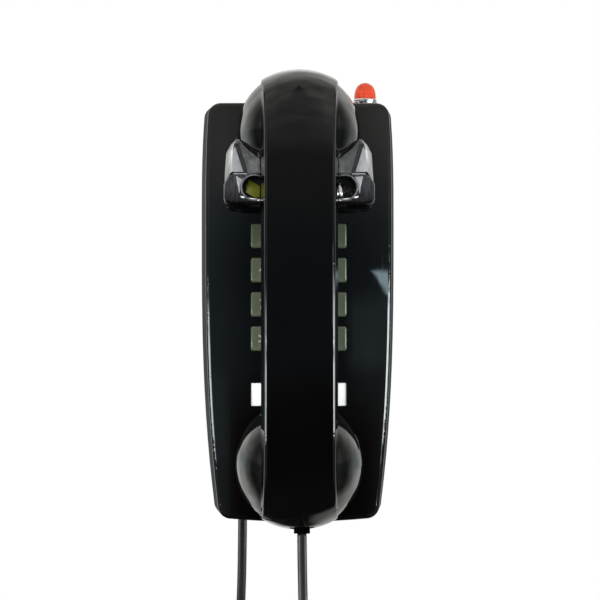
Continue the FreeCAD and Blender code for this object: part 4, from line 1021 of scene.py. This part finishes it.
# the number card's frame and its thin clear cover
CARD_Z = -40.7
xs = steps([-25.18, -23.65, 23.65, 25.18], 3.0)
zs = [CARD_Z - 7.38, CARD_Z - 5.75, CARD_Z + 5.75, CARD_Z + 7.38]
card_frame = crowned_plate("card_frame", xs, zs, [(-23.65, 23.65, CARD_Z - 5.75, CARD_Z + 5.75)],
                           lambda x: crown_at(x) - 0.015, 51.92, black)
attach(card_frame, "base")
film, t, s = material("clear_cover_film")
co = node(t, "ShaderNodeTexCoord")
n1 = node(t, "ShaderNodeTexNoise", Scale=150.0, Detail=3.0)
t.links.new(co.outputs["Object"], n1.inputs["Vector"])
r = node(t, "ShaderNodeMapRange")
r.inputs["To Min"].default_value = 0.04
r.inputs["To Max"].default_value = 0.14
t.links.new(n1.outputs["Fac"], r.inputs["Value"])
t.links.new(r.outputs["Result"], s.inputs["Roughness"])
s.inputs["Base Color"].default_value = (0.9, 0.92, 0.92, 1)
s.inputs["Alpha"].default_value = 0.12
cover = crowned_plate("card_cover", steps([-23.6, 23.6], 3.0), [CARD_Z - 5.7, CARD_Z + 5.7], [],
                      lambda x: crown_at(x) - 0.35, 52.6, film)
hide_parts("card_window")
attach(cover, "base")
paper = crowned_plate("card_paper_sheet", steps([-23.55, 23.55], 4.0), [CARD_Z - 5.65, CARD_Z + 5.65], [],
                      lambda x: crown_at(x) - 0.75 + 0.05 * math.sin(x * 0.21), 52.0, card)
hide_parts("number_card")
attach(paper, "base")

# ------------------------------------------------------------------ stage and light
def disc(name, radius, z, n=96):
    verts = [(0, 0, z)] + [(radius * math.cos(2 * math.pi * i / n), radius * math.sin(2 * math.pi * i / n), z)
                           for i in range(n)]
    return mesh_of(name, verts, [(0, 1 + i, 1 + (i + 1) % n) for i in range(n)], False)


floor = disc("floor", 0.75, -0.34)
fm, t, s = material("floor_pale")
s.inputs["Base Color"].default_value = (0.86, 0.86, 0.86, 1)
s.inputs["Roughness"].default_value = 0.8
floor.data.materials.append(fm)
floor.visible_glossy = False

# The room round the object, by direction: x to the right, y behind the object, z up.
world = bpy.data.worlds.new("studio")
scene.world = world
world.use_nodes = True
t = world.node_tree
t.nodes.clear()
L = t.links.new
out = t.nodes.new("ShaderNodeOutputWorld")
bg = t.nodes.new("ShaderNodeBackground")
co = t.nodes.new("ShaderNodeTexCoord")
sep = t.nodes.new("ShaderNodeSeparateXYZ")
L(co.outputs["Generated"], sep.inputs["Vector"])
X, Y, Z = sep.outputs["X"], sep.outputs["Y"], sep.outputs["Z"]


def mth(op, a, b=None):
    n = t.nodes.new("ShaderNodeMath")
    n.operation = op
    for i, v in enumerate((a, b)):
        if v is None:
            continue
        if isinstance(v, (int, float)):
            n.inputs[i].default_value = v
        else:
            L(v, n.inputs[i])
    return n.outputs[0]


def ramp_of(v, a, b, lo=0.0, hi=1.0):
    n = t.nodes.new("ShaderNodeMapRange")
    n.interpolation_type = "SMOOTHSTEP"
    n.inputs["From Min"].default_value = a
    n.inputs["From Max"].default_value = b
    n.inputs["To Min"].default_value = lo
    n.inputs["To Max"].default_value = hi
    L(v, n.inputs["Value"])
    return n.outputs["Result"]


AZ = mth("ARCTAN2", X, mth("MULTIPLY", Y, -1.0))      # 0 towards the camera, + to the right
AA = mth("ABSOLUTE", AZ)
# the room in front: dark straight ahead, paler to the sides and above
front = ramp_of(AA, 0.10, 0.42, 0.075, 0.29)
front = mth("ADD", front, mth("MULTIPLY", ramp_of(Z, 0.02, 0.12), ramp_of(AA, 0.05, 0.30, 0.05, 0.37)))
front = mth("ADD", front, mth("MULTIPLY", ramp_of(Z, 0.12, 0.36, 0.0, 0.21), ramp_of(AA, 0.05, 0.30, 1.0, 0.0)))
front = mth("ADD", front, ramp_of(Z, 0.40, 0.65, 0.0, 0.10))
front = mth("SUBTRACT", front, ramp_of(Z, 0.90, 0.99, 0.0, 0.24))
below = mth("MULTIPLY", ramp_of(Z, -0.035, -0.11), mth("MULTIPLY", ramp_of(AZ, -0.29, -0.21), ramp_of(AZ, 0.27, 0.37, 1.0, 0.0)))
front = mth("MULTIPLY", front, mth("SUBTRACT", 1.0, mth("MULTIPLY", below, 0.85)))
# darker square to the side, pale again behind the sides, nothing above
high = ramp_of(Z, 0.80, 0.99, 1.0, 0.0)
front = mth("MULTIPLY", front, mth("SUBTRACT", 1.0, mth("MULTIPLY", mth("MULTIPLY", ramp_of(AA, 1.3, 1.9), high), 0.7)))
sides = mth("MULTIPLY", ramp_of(AA, 1.9, 2.45), high)
level = mth("ADD", front, mth("MULTIPLY", sides, ramp_of(X, -0.6, -0.3, 1.05, 0.75)))
# straight behind, level: dark, so that side walls stay dark at the outline
behind = mth("MULTIPLY", ramp_of(Y, 0.955, 0.985, 0.0, 1.0), 0.9)
level = mth("MULTIPLY", level, mth("SUBTRACT", 1.0, behind))


def band(v, a, b, soft):
    return mth("MULTIPLY", ramp_of(v, a - soft, a, 0.0, 1.0), ramp_of(v, b, b + soft, 1.0, 0.0))


# two upright light panels, and the leaning edge of a third on the right
left_panel = mth("MULTIPLY", band(AZ, -1.18, -0.80, 0.24), mth("MULTIPLY", ramp_of(Z, -0.150, -0.132), ramp_of(Z, -0.045, 0.02, 1.0, 0.0)))
lean = mth("ADD", AZ, mth("MULTIPLY", Z, 3.3))
right_wedge = mth("MULTIPLY", mth("MULTIPLY", ramp_of(lean, 0.348, 0.366), ramp_of(AZ, 0.45, 0.60, 1.0, 0.0)),
                  band(Z, -0.02, 0.0185, 0.003))
right_panel = mth("MULTIPLY", band(AZ, 0.76, 1.22, 0.20), band(Z, -0.100, -0.01, 0.035))
level = mth("ADD", level, mth("MULTIPLY", left_panel, 12.5))
level = mth("ADD", level, mth("MULTIPLY", right_wedge, 7.5))
level = mth("ADD", level, mth("MULTIPLY", right_panel, 19.0))
# soft pale patches beside the dark front
level = mth("ADD", level, mth("MULTIPLY", mth("MULTIPLY", band(AZ, 0.24, 1.0, 0.06), band(Z, -0.035, -0.008, 0.02)), 0.20))
level = mth("ADD", level, mth("MULTIPLY", mth("MULTIPLY", band(AZ, -1.0, -0.29, 0.05), band(Z, -0.095, -0.06, 0.02)), 0.07))
# far below: dark, but for a pale corner at the back on the right
low = ramp_of(Z, -0.45, -0.70)
corner = mth("MULTIPLY", mth("MULTIPLY", ramp_of(X, 0.08, 0.22), ramp_of(Y, 0.05, 0.25)), 0.75)
level = mth("ADD", mth("MULTIPLY", level, mth("SUBTRACT", 1.0, low)), mth("MULTIPLY", low, mth("ADD", corner, 0.03)))
# the unevenness of a real room
noise = t.nodes.new("ShaderNodeTexNoise")
noise.inputs["Scale"].default_value = 3.6
noise.inputs["Detail"].default_value = 3.0
L(co.outputs["Generated"], noise.inputs["Vector"])
level = mth("MULTIPLY", level, ramp_of(noise.outputs["Fac"], 0.3, 0.7, 0.72, 1.25))
ray = t.nodes.new("ShaderNodeLightPath")
pick = t.nodes.new("ShaderNodeMix")
pick.data_type = "FLOAT"
L(ray.outputs["Is Camera Ray"], pick.inputs[0])
L(level, pick.inputs[2])
pick.inputs[3].default_value = 1.0
L(pick.outputs[0], bg.inputs["Strength"])
# neutral above, cool level in front, warm and dark below
def tint(fac, a, b):
    n = t.nodes.new("ShaderNodeMix")
    n.data_type = "RGBA"
    L(fac, n.inputs[0])
    for i, v in ((6, a), (7, b)):
        if isinstance(v, tuple):
            n.inputs[i].default_value = (*v, 1)
        else:
            L(v, n.inputs[i])
    return n.outputs[2]


cool = mth("MULTIPLY", band(Z, -0.12, 0.045, 0.05), ramp_of(AA, 0.33, 0.60, 1.0, 0.3))
tone = tint(mth("MULTIPLY", below, 0.85), tint(cool, (1.0, 1.0, 0.96), (0.66, 0.90, 1.0)), (1.0, 0.62, 0.48))
white = t.nodes.new("ShaderNodeMix")
white.data_type = "RGBA"
L(ray.outputs["Is Camera Ray"], white.inputs[0])
L(tone, white.inputs[6])
white.inputs[7].default_value = (1, 1, 1, 1)
L(white.outputs[2], bg.inputs["Color"])
L(bg.outputs["Background"], out.inputs["Surface"])


def softbox(name, place, target, width, height, power, colour=(1, 1, 1)):
    data = bpy.data.lights.new(name, "AREA")
    data.shape = "RECTANGLE"
    data.size, data.size_y = width, height
    data.energy = power
    data.color = colour
    obj = bpy.data.objects.new(name, data)
    obj.location = place
    obj.rotation_euler = (Vector(target) - Vector(place)).to_track_quat("-Z", "Y").to_euler()
    obj.visible_glossy = False
    scene.collection.objects.link(obj)
    return obj


softbox("softbox_front", (-0.25, -1.5, 0.7), (0, 0, 0), 1.2, 1.0, 26)
softbox("softbox_right", (1.2, -1.1, 0.3), (0, 0, 0), 0.8, 1.0, 8)
